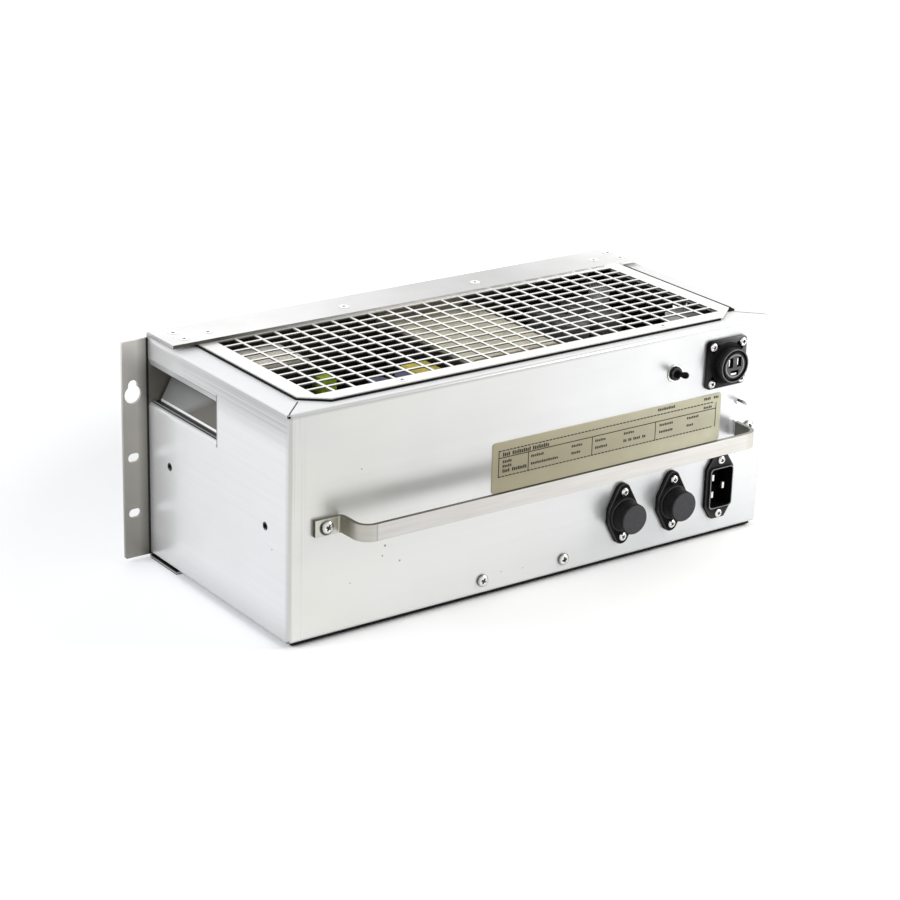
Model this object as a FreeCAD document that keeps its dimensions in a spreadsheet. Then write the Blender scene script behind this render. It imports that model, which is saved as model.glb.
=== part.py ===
"""Rack power supply module: a folded sheet box with a grille, a rack frame, a handle and panel fittings.

Millimetres. X runs along the front from left to right, Y to the back, Z up. The origin is the middle of
the footprint, on the surface that the module stands on.
"""
import FreeCAD, Part
import Sketcher
import math
import os
from types import SimpleNamespace

DIMENSIONS = [
    # Box, frame and covers
    ("rack_width", 482.6, "over both ears, the 19 inch standard"),
    ("body_width", 438.6, "box, left to right"),
    ("body_depth", 194.0, "box, front to back"),
    ("body_height", 172.0, "box, bottom to top flange"),
    ("sheet_gauge", 1.5, "sheet of the box"),
    ("cover_gauge", 1.0, "sheet of the grille and the bottom cover"),
    ("seal_gauge", 1.5, "seal between the grille and the flanges"),
    ("seal_margin", 0.8, "seal beyond the grille's edge"),
    ("seal_right", 1.6, "further overhang of the seal at the right"),
    ("seal_relief", 3.0, "deeper cut of the seal's right front corner"),
    ("frame_gauge", 2.5, "plate of the rack frame"),
    ("bend_radius", 3.0, "outer radius of the folds"),
    ("end_flange", 33.0, "turned-in flange along the ends"),
    ("front_flange", 20.0, "turned-in flange along the front"),
    ("relief_radius", 1.4, "relief hole where two folds meet"),
    ("mitre_slit", 0.5, "slit between the flanges"),
    ("flange_reach", 40.0, "frame flange over the top and bottom"),
    ("ear_low", 0.5, "lower end of the ear above the box's bottom"),
    ("ear_high", 172.5, "upper end of the ear"),
    ("ear_hole_span", 465.1, "between the hole rows of the two ears"),
    ("slot_low", 36.3, "lower slot above the box's bottom"),
    ("slot_pitch", 44.45, "between the two slots"),
    ("key_rise", 101.6, "keyhole's narrow end above the lower slot"),
    ("key_drop", 7.3, "from the keyhole's narrow end to its wide one"),
    ("slot_radius", 3.5, "half of the slot's height"),
    ("slot_length", 10.0, "slot, end to end"),
    ("key_narrow", 4.0, "radius of the keyhole's narrow end"),
    ("key_wide", 7.0, "radius of the keyhole's wide end"),
    # Grille
    ("grille_end_margin", 21.7, "from the box's end to the grille"),
    ("grille_front_margin", 9.0, "from the box's front to the grille"),
    ("cover_back_gap", 0.8, "from a cover to the frame's back plate"),
    ("grille_cut_across", 19.0, "cut corner, along the front"),
    ("grille_cut_deep", 15.0, "cut corner, front to back"),
    ("grid_front", 21.0, "front edge of the first row of openings"),
    ("grid_pitch_across", 16.85, "openings, left to right"),
    ("grid_pitch_deep", 12.33, "openings, front to back"),
    ("grid_bar", 2.2, "bar between openings"),
    ("grid_columns", 22, "openings in a row"),
    ("grid_rows", 11, "rows of openings"),
    ("vent_length", 56.0, "slot of the bottom cover"),
    ("vent_width", 8.0, "slot of the bottom cover"),
    ("vent_pitch", 30.0, "between slots"),
    ("vent_columns", 11, "slots in a row"),
    ("vent_front", 26.0, "front end of the first row"),
    ("vent_row_pitch", 66.0, "between the rows"),
    ("vent_rows", 2, "rows of slots"),
    # Grip windows in the ends
    ("grip_front", 96.0, "front edge of the window behind the front face"),
    ("grip_low", 122.4, "sill of the window"),
    ("grip_crease", 157.0, "crease above the window"),
    ("lip_drop", 6.7, "bent lip below the crease"),
    ("lip_inset", 2.8, "lip's lower edge behind the end's face"),
    ("sill_radius", 4.0, "outer radius of the sill's fold"),
    ("sill_run", 9.0, "sill's edge behind the end's face"),
    ("lip_relief", 0.8, "saw cut at the lips' front ends"),
    ("recess_gauge", 1.2, "sheet of the sloped recess"),
    ("recess_heel", 11.0, "recess flange below the sill"),
    ("recess_slope_in", 17.0, "how far the slope runs inwards"),
    ("recess_slope_top", 153.0, "top of the slope"),
    ("recess_top_run", 17.0, "recess flange below the box's top flange"),
    ("recess_end_gap", 2.0, "recess short of the frame's back plate"),
    ("end_hole_z", 80.0, "plain holes in the ends"),
    ("end_hole_front", 30.0, "front hole behind the front face"),
    ("end_hole_back", 164.0, "back hole behind the front face"),
    ("end_hole_radius", 2.5, "plain holes in the ends"),
    # Handle and nameplate
    ("handle_reach", 30.0, "outer face of the bar in front of the box"),
    ("handle_gauge", 3.0, "strap thickness"),
    ("handle_height", 12.6, "strap height"),
    ("handle_z", 84.9, "middle of the strap"),
    ("handle_offset", 5.8, "middle of the handle right of the box's middle"),
    ("handle_half", 204.7, "middle of the handle to a tab's end"),
    ("handle_foot", 183.9, "middle of the handle to a leg's foot"),
    ("handle_shoulder", 182.9, "middle of the handle to the bar's end"),
    ("handle_screw_x", 194.9, "middle of the handle to its screw"),
    ("leg_offset", 2.89, "a leg's inner face beside its outer corner, along the front"),
    ("foot_radius", 2.0, "inner radius of the bend at a foot"),
    ("shoulder_radius", 9.0, "inner radius of the bend at a shoulder"),
    ("plate_left", 174.3, "nameplate's left edge from the box's left end"),
    ("plate_width", 218.2, "nameplate"),
    ("plate_low", 77.7, "nameplate's lower edge"),
    ("plate_height", 39.3, "nameplate"),
    ("plate_gauge", 0.8, "nameplate"),
    ("plate_radius", 3.0, "nameplate's corners"),
    # Round connector
    ("connector_x", 394.0, "from the box's left end"),
    ("connector_z", 141.3, "above the box's bottom"),
    ("connector_flange", 39.0, "square flange"),
    ("connector_flange_gauge", 3.0, "square flange"),
    ("connector_corner", 4.0, "flange corner radius"),
    ("connector_screw_pitch", 29.4, "between flange screws"),
    ("connector_reach", 12.5, "barrel in front of the box"),
    ("connector_barrel", 13.4, "barrel radius"),
    ("connector_root", 16.6, "radius of the swelling at the flange"),
    ("connector_bore", 12.2, "bore radius"),
    ("connector_rear", 18.0, "shell behind the front face"),
    ("connector_insert_radius", 10.5, "insert radius at its face"),
    ("connector_face", 12.2, "insert face in front of the box"),
    ("pocket_wide", 4.4, "pocket of a contact, across"),
    ("pocket_long", 8.0, "pocket of a contact, along"),
    ("pocket_deep", 9.0, "pocket depth"),
    ("contact_wide", 1.6, "contact blade, across"),
    ("contact_long", 5.4, "contact blade, along"),
    ("contact_spread", 5.2, "contact from the connector's axis"),
    ("contact_aside", 1.1, "contact beside the middle of its pocket"),
    # Toggle switch
    ("toggle_x", 344.2, "from the box's left end"),
    ("toggle_z", 140.9, "above the box's bottom"),
    ("toggle_case_wide", 8.0, "switch case"),
    ("toggle_case_high", 13.0, "switch case"),
    ("toggle_case_deep", 11.0, "switch case behind the sheet"),
    ("toggle_bush", 3.0, "bush radius"),
    ("toggle_bush_reach", 4.4, "bush in front of the box"),
    ("toggle_bore", 2.5, "bush bore radius"),
    ("toggle_washer_radius", 7.2, "washer"),
    ("toggle_washer_gauge", 0.8, "washer"),
    ("toggle_nut_radius", 5.4, "ring nut"),
    ("toggle_nut_reach", 3.0, "ring nut's face in front of the box"),
    ("toggle_pivot", 2.0, "lever's pivot in front of the box"),
    ("toggle_tilt", 10.0, "lever's tilt at rest"),
    ("lever_length", 13.4, "pivot to tip"),
    ("lever_neck", 1.25, "lever radius at the bush"),
    ("lever_tip", 2.6, "lever radius at the tip"),
    ("lever_ball", 2.42, "ball at the pivot"),
    # Earth stud
    ("stud_x", 410.5, "from the box's left end"),
    ("stud_z", 107.2, "above the box's bottom"),
    ("stud_radius", 1.5, "stud"),
    ("stud_root", 1.0, "stud below its nut's face"),
    ("stud_reach", 11.0, "stud in front of the box"),
    ("stud_tail", 7.0, "stud behind the front face"),
    ("stud_nut_radius", 3.0, "nut, to its corners"),
    ("stud_nut_high", 1.6, "nut"),
    # Fuse holders
    ("fuse_x", 297.7, "first holder from the box's left end"),
    ("fuse_pitch", 48.7, "between the holders"),
    ("fuse_z", 37.2, "holders above the box's bottom"),
    ("fuse_screw_rise", 18.2, "screws above and below the middle"),
    ("fuse_flange_gauge", 4.0, "flange"),
    ("fuse_flange_end", 24.6, "flange end above the middle"),
    ("fuse_flange_tip", 6.4, "half width of the flange's end"),
    ("fuse_flange_side", 14.0, "half width of the flange's middle"),
    ("fuse_flange_shoulder", 8.5, "half height of the flange's straight side"),
    ("fuse_collar", 13.3, "collar radius"),
    ("fuse_collar_reach", 6.6, "collar in front of the box"),
    ("fuse_tube", 9.0, "tube radius behind the panel"),
    ("fuse_bore", 6.6, "bore radius"),
    ("fuse_tube_length", 36.0, "tube behind the front face"),
    ("fuse_tube_end", 2.0, "closed end of the tube"),
    ("cap_radius", 12.4, "cap radius at its foot"),
    ("cap_top_radius", 12.0, "cap radius at its face"),
    ("cap_reach", 18.3, "cap in front of the box"),
    ("cap_gap", 0.4, "cap's foot in front of the collar"),
    ("cap_edge", 1.2, "chamfer round the cap's face"),
    ("cap_stem", 6.52, "carrier radius"),
    ("cap_stem_length", 20.0, "carrier behind the front face"),
    ("link_radius", 3.2, "cartridge radius"),
    ("link_bore", 3.3, "carrier's bore"),
    ("link_length", 32.0, "cartridge"),
    ("link_front", 2.0, "cartridge's front end in front of the box"),
    # Mains inlet
    ("inlet_x", 394.7, "from the box's left end"),
    ("inlet_z", 39.2, "above the box's bottom"),
    ("inlet_half_wide", 13.5, "flange"),
    ("inlet_half_high", 26.3, "flange"),
    ("inlet_tip", 6.5, "half width of the flange's end"),
    ("inlet_side", 15.5, "half height of the flange's straight side"),
    ("collar_half_wide", 11.5, "collar round the socket"),
    ("collar_half_high", 16.8, "collar round the socket"),
    ("inlet_flange_gauge", 3.0, "flange"),
    ("inlet_reach", 5.5, "collar in front of the box"),
    ("inlet_mouth_wide", 10.7, "half width of the socket"),
    ("inlet_mouth_high", 16.0, "half height of the socket"),
    ("inlet_corner", 3.0, "corner radius of the socket"),
    ("inlet_floor", 12.0, "socket floor behind the front face"),
    ("inlet_rear", 22.0, "housing behind the front face"),
    ("inlet_rear_wide", 12.2, "half width of the housing behind the panel"),
    ("inlet_rear_high", 17.5, "half height of the housing behind the panel"),
    ("inlet_screw_rise", 22.1, "screws above and below the middle"),
    ("blade_long", 5.0, "blade, up and down"),
    ("blade_thick", 2.0, "blade"),
    ("blade_rise", 7.0, "line and neutral blades from the middle"),
    ("blade_shift", 4.5, "blades left and right of the middle"),
    ("blade_tip", 0.2, "line and neutral tips in front of the box"),
    ("earth_tip", 2.0, "earth blade's tip in front of the box"),
    ("blade_tail", 8.0, "terminals behind the housing"),
    # Fasteners
    ("pan_radius", 4.8, "pan head"),
    ("pan_high", 2.9, "pan head"),
    ("pan_shank", 2.0, "pan head screw"),
    ("small_radius", 3.2, "small pan head"),
    ("small_high", 2.0, "small pan head"),
    ("small_shank", 1.5, "small screw"),
    ("shank_length", 8.0, "screw below its head"),
    ("shank_play", 0.15, "clearance of a screw hole"),
    ("panel_screw_x", 168.6, "first panel screw from the box's left end"),
    ("panel_screw_pitch", 75.4, "between the panel screws"),
    ("panel_screw_z", 11.0, "panel screws above the box's bottom"),
    ("rivet_radius", 3.0, "flush head on the frame"),
    ("rivet_proud", 0.3, "flush head above its plate"),
    ("rivet_sunk", 0.2, "lower rivet above the frame's lower face"),
    ("rivet_inset", 38.0, "outer heads from the box's end"),
    ("rivet_mid_inset", 157.6, "inner heads from the box's end"),
    ("rivet_y", 172.0, "heads behind the front face"),
    ("rivet_edge_inset", 14.9, "edge heads from the box's end"),
    ("rivet_edge_front", 166.7, "front edge head behind the front face"),
    ("rivet_edge_back", 183.0, "back edge head behind the front face"),
    ("foot_inset", 6.0, "rubber strip under the front, from the box's ends"),
    ("foot_front", 1.5, "strip behind the front face"),
    ("foot_depth", 6.0, "strip, front to back"),
    ("foot_clear", 0.2, "strip above the surface that the frame stands on"),
    ("cover_screw_left", 104.0, "first grille screw from the box's left end"),
    ("cover_screw_right", 343.0, "second grille screw from the box's left end"),
    ("cover_screw_y", 15.5, "grille screws behind the front face"),
    ("base_screw_inset", 60.0, "bottom screws from the box's end"),
    # Base tray and the insides
    ("tray_inset", 3.2, "tray inside the box's ends"),
    ("tray_lip", 22.0, "top of the tray's front lip"),
    ("tray_bend", 2.6, "outer radius of the tray's fold"),
    ("board_gauge", 1.6, "circuit boards"),
    ("board_left", 20.0, "main board from the box's left end"),
    ("board_width", 158.0, "main board"),
    ("board_front", 25.0, "main board behind the front face"),
    ("board_depth", 155.0, "main board"),
    ("board_z", 13.0, "main board's underside"),
    ("post_radius", 3.0, "standoffs"),
    ("post_inset", 7.0, "standoffs from a board's edges"),
    ("sink_left", 97.0, "heat sink from the box's left end"),
    ("sink_width", 88.0, "heat sink"),
    ("sink_front", 45.0, "heat sink behind the front face"),
    ("sink_depth", 118.0, "heat sink"),
    ("sink_base", 8.0, "heat sink's base"),
    ("sink_top", 118.0, "tops of the fins"),
    ("sink_fins", 9, "fins"),
    ("fin_gauge", 2.0, "fins"),
    ("control_z", 126.0, "control board's underside"),
    ("control_inset", 1.0, "control board inside the heat sink's sides"),
    ("control_front", 48.0, "control board behind the front face"),
    ("control_depth", 84.0, "control board"),
    ("core_x", 232.0, "middle of the transformer"),
    ("core_wide", 40.0, "transformer core"),
    ("core_front", 24.0, "core behind the front face"),
    ("core_depth", 162.0, "core"),
    ("core_top", 134.0, "top of the core"),
    ("core_leg", 38.0, "upper and lower legs"),
    ("core_yoke", 27.0, "front and back yokes"),
    ("coil_wide", 84.0, "coil"),
    ("coil_top", 163.0, "top of the coils"),
    ("coil_play", 0.4, "coil's bore round its core"),
    ("coil_round", 5.0, "corners of the coil"),
    ("choke_x", 73.0, "middle of the choke"),
    ("choke_wide", 22.0, "choke core"),
    ("choke_front", 110.0, "choke behind the front face"),
    ("choke_depth", 62.0, "choke core"),
    ("choke_top", 150.0, "top of the choke core"),
    ("choke_leg", 22.0, "choke core's legs"),
    ("choke_yoke", 9.0, "choke core's yokes"),
    ("choke_coil_wide", 42.0, "choke coil"),
    ("power_left", 290.0, "power board from the box's left end"),
    ("power_width", 138.0, "power board"),
    ("power_front", 42.0, "power board behind the front face"),
    ("power_depth", 144.0, "power board"),
    ("power_z", 103.0, "power board's underside"),
    ("can_radius", 15.0, "large capacitors"),
    ("can_high", 45.0, "large capacitors"),
    ("can_pitch", 33.0, "large capacitors"),
    ("can_left", 341.0, "first large capacitor from the box's left end"),
    ("can_front", 124.0, "first large capacitor behind the front face"),
    ("small_can_radius", 8.0, "small capacitors"),
    ("small_can_high", 27.0, "small capacitors"),
    ("small_can_left", 122.0, "first small capacitor from the box's left end"),
    ("small_can_pitch", 22.0, "small capacitors"),
    ("small_can_front", 70.0, "small capacitors behind the front face"),
    ("aux_left", 159.0, "small transformer from the box's left end"),
    ("aux_front", 70.0, "small transformer behind the front face"),
    ("aux_wide", 22.0, "small transformer"),
    ("aux_deep", 26.0, "small transformer"),
    ("aux_high", 24.0, "small transformer"),
    ("terminal_left", 99.5, "green terminal from the box's left end"),
    ("terminal_front", 112.0, "green terminal behind the front face"),
    ("terminal_side", 13.0, "green terminal"),
    ("terminal_high", 19.0, "green terminal"),
    ("relay_left", 404.0, "relay from the box's left end"),
    ("relay_front", 60.0, "relay behind the front face"),
    ("relay_wide", 19.0, "relay"),
    ("relay_deep", 24.0, "relay"),
    ("relay_high", 54.0, "relay"),
    ("plug_left", 391.0, "plug from the box's left end"),
    ("plug_front", 149.0, "plug behind the front face"),
    ("plug_wide", 9.0, "plug"),
    ("plug_deep", 16.0, "plug"),
    ("plug_high", 55.0, "plug"),
]

doc = FreeCAD.newDocument("power_supply_module")


class Dim:
    """A length that carries its value and the sheet expression that it comes from."""

    def __init__(self, value, text):
        self.value = value
        self.text = text

    def join(self, other, sign, swap=False):
        other = as_dim(other)
        first, second = (other, self) if swap else (self, other)
        results = {
            "+": first.value + second.value,
            "-": first.value - second.value,
            "*": first.value * second.value,
        }
        return Dim(results[sign], f"({first.text} {sign} {second.text})")

    def __add__(self, other):
        return self.join(other, "+")

    def __radd__(self, other):
        return self.join(other, "+", True)

    def __sub__(self, other):
        return self.join(other, "-")

    def __rsub__(self, other):
        return self.join(other, "-", True)

    def __mul__(self, other):
        return self.join(other, "*")

    def __rmul__(self, other):
        return self.join(other, "*", True)

    def __truediv__(self, number):
        return Dim(self.value / number, f"({self.text} / {number})")

    def __neg__(self):
        return Dim(-self.value, f"(0 - {self.text})")


def as_dim(value):
    return value if isinstance(value, Dim) else Dim(float(value), f"({float(value)})")


def make_sheet():
    """The driving dimensions: a name, a number and a remark in each row."""
    sheet = doc.addObject("Spreadsheet::Sheet", "dimensions")
    dims = SimpleNamespace()
    for row, (alias, value, remark) in enumerate(DIMENSIONS, start=1):
        sheet.set(f"A{row}", alias)
        sheet.set(f"B{row}", str(value))
        sheet.set(f"C{row}", remark)
        sheet.setAlias(f"B{row}", alias)
        setattr(dims, alias, Dim(value, f"dimensions.{alias}"))
    doc.recompute()
    return dims


d = make_sheet()
LEFT = -d.body_width / 2
RIGHT = d.body_width / 2
FRONT = (d.handle_reach - d.body_depth - d.frame_gauge) / 2
BASE = d.frame_gauge + d.cover_gauge
TOP = BASE + d.body_height
LID = TOP + d.seal_gauge
REAR = FRONT + d.body_depth
INNER_FRONT = FRONT + d.sheet_gauge
TRAY_FLOOR = BASE + d.sheet_gauge + d.sheet_gauge
SPARE = 2.0
PLANE_AXES = {"XY": (0, 1), "XZ": (0, 2), "YZ": (1, 2)}
AXIS_TURN = {
    "X": FreeCAD.Rotation(FreeCAD.Vector(0, 1, 0), 90),
    "Y": FreeCAD.Rotation(FreeCAD.Vector(1, 0, 0), -90),
    "Z": FreeCAD.Rotation(),
}


def across(distance):
    """X of a point at this distance from the box's left end."""
    return LEFT + distance


def back(distance):
    """Y of a point at this distance behind the front face; a negative one is in front of it."""
    return FRONT + distance


def up(distance):
    """Z of a point at this height above the box's bottom."""
    return BASE + distance


# Helpers that bind primitives and sketches to the sheet

def bind(item, name, value):
    item.setExpression(name, as_dim(value).text)


def place(item, x, y, z, turn=None):
    x, y, z = as_dim(x), as_dim(y), as_dim(z)
    item.Placement = FreeCAD.Placement(FreeCAD.Vector(x.value, y.value, z.value), turn or FreeCAD.Rotation())
    for axis, value in zip("xyz", (x, y, z)):
        bind(item, f"Placement.Base.{axis}", value)


def box(x0, x1, y0, y1, z0, z1):
    item = doc.addObject("Part::Box", "box")
    for name, size in (("Length", x1 - x0), ("Width", y1 - y0), ("Height", z1 - z0)):
        bind(item, name, size)
    place(item, x0, y0, z0)
    return item


def centred_box(x, y0, y1, z, half_wide, half_high):
    """A box along Y round the middle (x, z)."""
    return box(x - half_wide, x + half_wide, y0, y1, z - half_high, z + half_high)


def rod(axis, x, y, z, radius, length):
    """A cylinder from (x, y, z) along an axis."""
    item = doc.addObject("Part::Cylinder", "rod")
    bind(item, "Radius", radius)
    bind(item, "Height", length)
    place(item, x, y, z, AXIS_TURN[axis])
    return item


def hexagon_bar(x, y, z, corner_radius, length):
    """A hexagonal bar from (x, y, z) along Y."""
    item = doc.addObject("Part::Prism", "hexagon")
    item.Polygon = 6
    bind(item, "Circumradius", corner_radius)
    bind(item, "Height", length)
    place(item, x, y, z, AXIS_TURN["Y"])
    return item


def fuse(*items):
    if len(items) == 1:
        return items[0]
    item = doc.addObject("Part::MultiFuse", "fuse")
    item.Shapes = list(items)
    item.Refine = True
    return item


def cut(base, *tools):
    item = doc.addObject("Part::Cut", "cut")
    item.Base = base
    item.Tool = fuse(*tools)
    item.Refine = True
    return item


def group(*items):
    item = doc.addObject("Part::Compound", "group")
    item.Links = list(items)
    return item


def soften(base, radius, chosen):
    """Rounds the edges of a shape whose end points pass the test."""
    doc.recompute()
    item = doc.addObject("Part::Fillet", "soften")
    item.Base = base
    size = as_dim(radius).value
    edges = enumerate(base.Shape.Edges, start=1)
    item.Edges = [(number, size, size) for number, edge in edges if chosen(*(v.Point for v in edge.Vertexes))]
    return item


def origin_plane(body, role):
    return next(item for item in body.Origin.OriginFeatures if item.Role == role)


def outline_sketch(body, plane, outline, shift):
    """A closed polygon on an origin plane, with each corner's place bound to the sheet."""
    sketch = body.newObject("Sketcher::SketchObject", "outline")
    sketch.AttachmentSupport = [(origin_plane(body, f"{plane}_Plane"), "")]
    sketch.MapMode = "FlatFace"
    for axis, value in zip("xyz", shift):
        bind(sketch, f"AttachmentOffset.Base.{axis}", value)
    corners = [(as_dim(u), as_dim(v)) for u, v in outline]
    count = len(corners)
    for index, (u, v) in enumerate(corners):
        far_u, far_v = corners[(index + 1) % count]
        start = FreeCAD.Vector(u.value, v.value, 0)
        end = FreeCAD.Vector(far_u.value, far_v.value, 0)
        sketch.addGeometry(Part.LineSegment(start, end))
    for index in range(count):
        sketch.addConstraint(Sketcher.Constraint("Coincident", index, 2, (index + 1) % count, 1))
    for index, corner in enumerate(corners):
        for kind, value in zip(("DistanceX", "DistanceY"), corner):
            number = sketch.addConstraint(Sketcher.Constraint(kind, -1, 1, index, 1, value.value))
            bind(sketch, f"Constraints[{number}]", value)
    return sketch


def new_body(name):
    return doc.addObject("PartDesign::Body", name)


def prism(plane, outline, start, end, rounds=()):
    """A body padded from an outline, from start to end along the plane's normal axis.

    Each entry of rounds is a radius and the outline's corners that get it.
    """
    body = new_body("prism")
    start, end = as_dim(start), as_dim(end)
    along = -start if plane == "XZ" else start
    pad = body.newObject("PartDesign::Pad", "pad")
    pad.Profile = outline_sketch(body, plane, outline, (0, 0, along))
    bind(pad, "Length", start - end if plane == "XZ" else end - start)
    body.Tip = pad
    for radius, corners in rounds:
        round_corners(body, plane, [outline[number] for number in corners], radius)
    return body


def round_corners(body, plane, corners, radius):
    doc.recompute()
    first, second = PLANE_AXES[plane]
    targets = [(as_dim(u).value, as_dim(v).value) for u, v in corners]
    names = []
    for number, edge in enumerate(body.Tip.Shape.Edges, start=1):
        ends = [(vertex.Point[first], vertex.Point[second]) for vertex in edge.Vertexes]
        if any(all(math.dist(end, target) < 1e-4 for end in ends) for target in targets):
            names.append(f"Edge{number}")
    base = body.Tip
    fillet = body.newObject("PartDesign::Fillet", "round")
    fillet.Base = (base, names)
    bind(fillet, "Radius", radius)
    body.Tip = fillet


def turned(profile, x, z, y=None):
    """A body turned about a line along Y through (x, z), from a profile of radius and Y.

    With y given, the line is along Z through (x, y), and the profile holds radius and Z.
    """
    body = new_body("turned")
    if y is None:
        sketch = outline_sketch(body, "XY", profile, (x, 0, z))
    else:
        sketch = outline_sketch(body, "XZ", profile, (x, 0, -as_dim(y)))
    feature = body.newObject("PartDesign::Revolution", "revolution")
    feature.Profile = sketch
    feature.ReferenceAxis = (sketch, ["V_Axis"])
    feature.Angle = 360.0
    body.Tip = feature
    return body


PARTS = {}


def keep(name, item):
    """Gives a finished sub-part its name."""
    item.Label = name
    PARTS[name] = item
    return item


# Fasteners: a head on a face and a shank below it

def panel_screw(x, z, face, head_radius, head_high, shank_radius):
    """A screw driven into the front: its head stands in front of the face at Y = face."""
    head = rod("Y", x, face - head_high, z, head_radius, head_high)
    shank = rod("Y", x, face, z, shank_radius, d.shank_length)
    return fuse(head, shank)


def panel_hole(x, z, shank_radius):
    """Clearance for a screw through everything on the front panel."""
    start = back(-d.handle_reach)
    return rod("Y", x, start, z, shank_radius + d.shank_play, d.handle_reach + d.shank_length * 2)


def flush_screw(x, y, face):
    """A low head on a horizontal face, with its shank in the sheets below."""
    head = rod("Z", x, y, face, d.rivet_radius, d.rivet_proud)
    shank = rod("Z", x, y, face - d.shank_length, d.small_shank, d.shank_length)
    return fuse(head, shank)


def plate_hole(x, y, z, shank_radius):
    """Clearance for a screw through the sheets round a height z."""
    start = z - d.shank_length - SPARE
    return rod("Z", x, y, start, shank_radius + d.shank_play, d.shank_length * 2 + SPARE * 2)


# Places of the repeated fittings

FRAME_HEADS = []
for side in (-1, 1):
    for inset, behind in (
        (d.rivet_inset, d.rivet_y),
        (d.rivet_mid_inset, d.rivet_y),
        (d.rivet_edge_inset, d.rivet_edge_front),
        (d.rivet_edge_inset, d.rivet_edge_back),
    ):
        FRAME_HEADS.append((side * (RIGHT - inset), back(behind)))
COVER_HEADS = [(across(place), back(d.cover_screw_y)) for place in (d.cover_screw_left, d.cover_screw_right)]
BASE_HEADS = [(side * (RIGHT - d.base_screw_inset), back(d.cover_screw_y)) for side in (-1, 1)]
HANDLE_X = d.handle_offset
HANDLE_HEADS = [(HANDLE_X + side * d.handle_screw_x, up(d.handle_z)) for side in (-1, 1)]
PANEL_HEADS = [(across(d.panel_screw_x + step * d.panel_screw_pitch), up(d.panel_screw_z)) for step in (0, 1)]
FUSES = [(across(d.fuse_x + step * d.fuse_pitch), up(d.fuse_z)) for step in (0, 1)]
FUSE_HEADS = [(x, z + sign * d.fuse_screw_rise) for x, z in FUSES for sign in (-1, 1)]
INLET = (across(d.inlet_x), up(d.inlet_z))
INLET_HEADS = [(INLET[0], INLET[1] + sign * d.inlet_screw_rise) for sign in (-1, 1)]
CONNECTOR = (across(d.connector_x), up(d.connector_z))
CONNECTOR_HEADS = [
    (CONNECTOR[0] + i * d.connector_screw_pitch / 2, CONNECTOR[1] + j * d.connector_screw_pitch / 2)
    for i in (-1, 1)
    for j in (-1, 1)
]
TOGGLE = (across(d.toggle_x), up(d.toggle_z))
STUD = (across(d.stud_x), up(d.stud_z))


# Box

def end_profile(side, points):
    """Points given as inset from an end face and height above the box's bottom."""
    return [(side * (RIGHT - inset), up(height)) for inset, height in points]


def grip_window(side):
    """The opening for the window and its lips, through the end and out at the back."""
    face = [side * (RIGHT + SPARE), side * (RIGHT - d.bend_radius)]
    low, high = (face[1], face[0]) if side > 0 else (face[0], face[1])
    return box(low, high, back(d.grip_front), REAR + SPARE, up(d.grip_low - d.sill_radius), up(d.grip_crease))


def grip_lip(side):
    """The lip bent inwards below the crease."""
    outline = end_profile(side, [
        (0, d.grip_crease),
        (d.lip_inset, d.grip_crease - d.lip_drop),
        (d.lip_inset + d.sheet_gauge, d.grip_crease - d.lip_drop),
        (d.sheet_gauge, d.grip_crease),
    ])
    return prism("XZ", outline, REAR, back(d.grip_front + d.lip_relief))


def grip_sill(side):
    """The sill: the sheet folded inwards through a quarter turn."""
    low = d.grip_low - d.sill_radius
    outline = end_profile(side, [
        (0, low),
        (0, d.grip_low),
        (d.sill_run, d.grip_low),
        (d.sill_run, d.grip_low - d.sheet_gauge),
        (d.sheet_gauge, d.grip_low - d.sheet_gauge),
        (d.sheet_gauge, low),
    ])
    inner = d.sill_radius - d.sheet_gauge - 0.2
    rounds = ((d.sill_radius - 0.2, (1,)), (inner, (4,)))
    return prism("XZ", outline, REAR, back(d.grip_front + d.lip_relief), rounds)


def box_shell():
    """Front and ends folded from one sheet, open at the back, with round folds."""
    outer = box(LEFT, RIGHT, FRONT, REAR, BASE, TOP)
    gauge = d.sheet_gauge
    inner = box(LEFT + gauge, RIGHT - gauge, INNER_FRONT, REAR + SPARE, BASE + gauge, TOP - gauge)

    def folds(rear_limit):
        """True for the edges of a block that aren't on its open back."""
        return lambda first, second: first.y < rear_limit or second.y < rear_limit

    skin = soften(outer, d.bend_radius, folds(REAR.value - 1))
    hollow = soften(inner, d.bend_radius - gauge, folds(REAR.value - 1))
    opening_end = d.end_flange
    opening = box(
        LEFT + opening_end, RIGHT - opening_end, back(d.front_flange), REAR + SPARE, BASE - SPARE, TOP + SPARE
    )
    return cut(skin, hollow, opening)


def corner_reliefs():
    """Relief holes and mitre slits at the front corners of both flanges."""
    tools = []
    slit_length = d.front_flange * math.sqrt(2)
    for side in (-1, 1):
        turn = FreeCAD.Rotation(FreeCAD.Vector(0, 0, 1), 45 if side < 0 else 135)
        for level in (BASE, TOP):
            x = side * (RIGHT - d.bend_radius / 2)
            y = back(d.bend_radius / 2)
            tools.append(rod("Z", x, y, level - d.bend_radius, d.relief_radius, d.bend_radius * 2))
            slit = doc.addObject("Part::Box", "slit")
            bind(slit, "Length", slit_length)
            bind(slit, "Width", d.mitre_slit)
            bind(slit, "Height", d.sheet_gauge * 2)
            place(slit, x, y, level - d.sheet_gauge, turn)
            tools.append(slit)
    return tools


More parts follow.
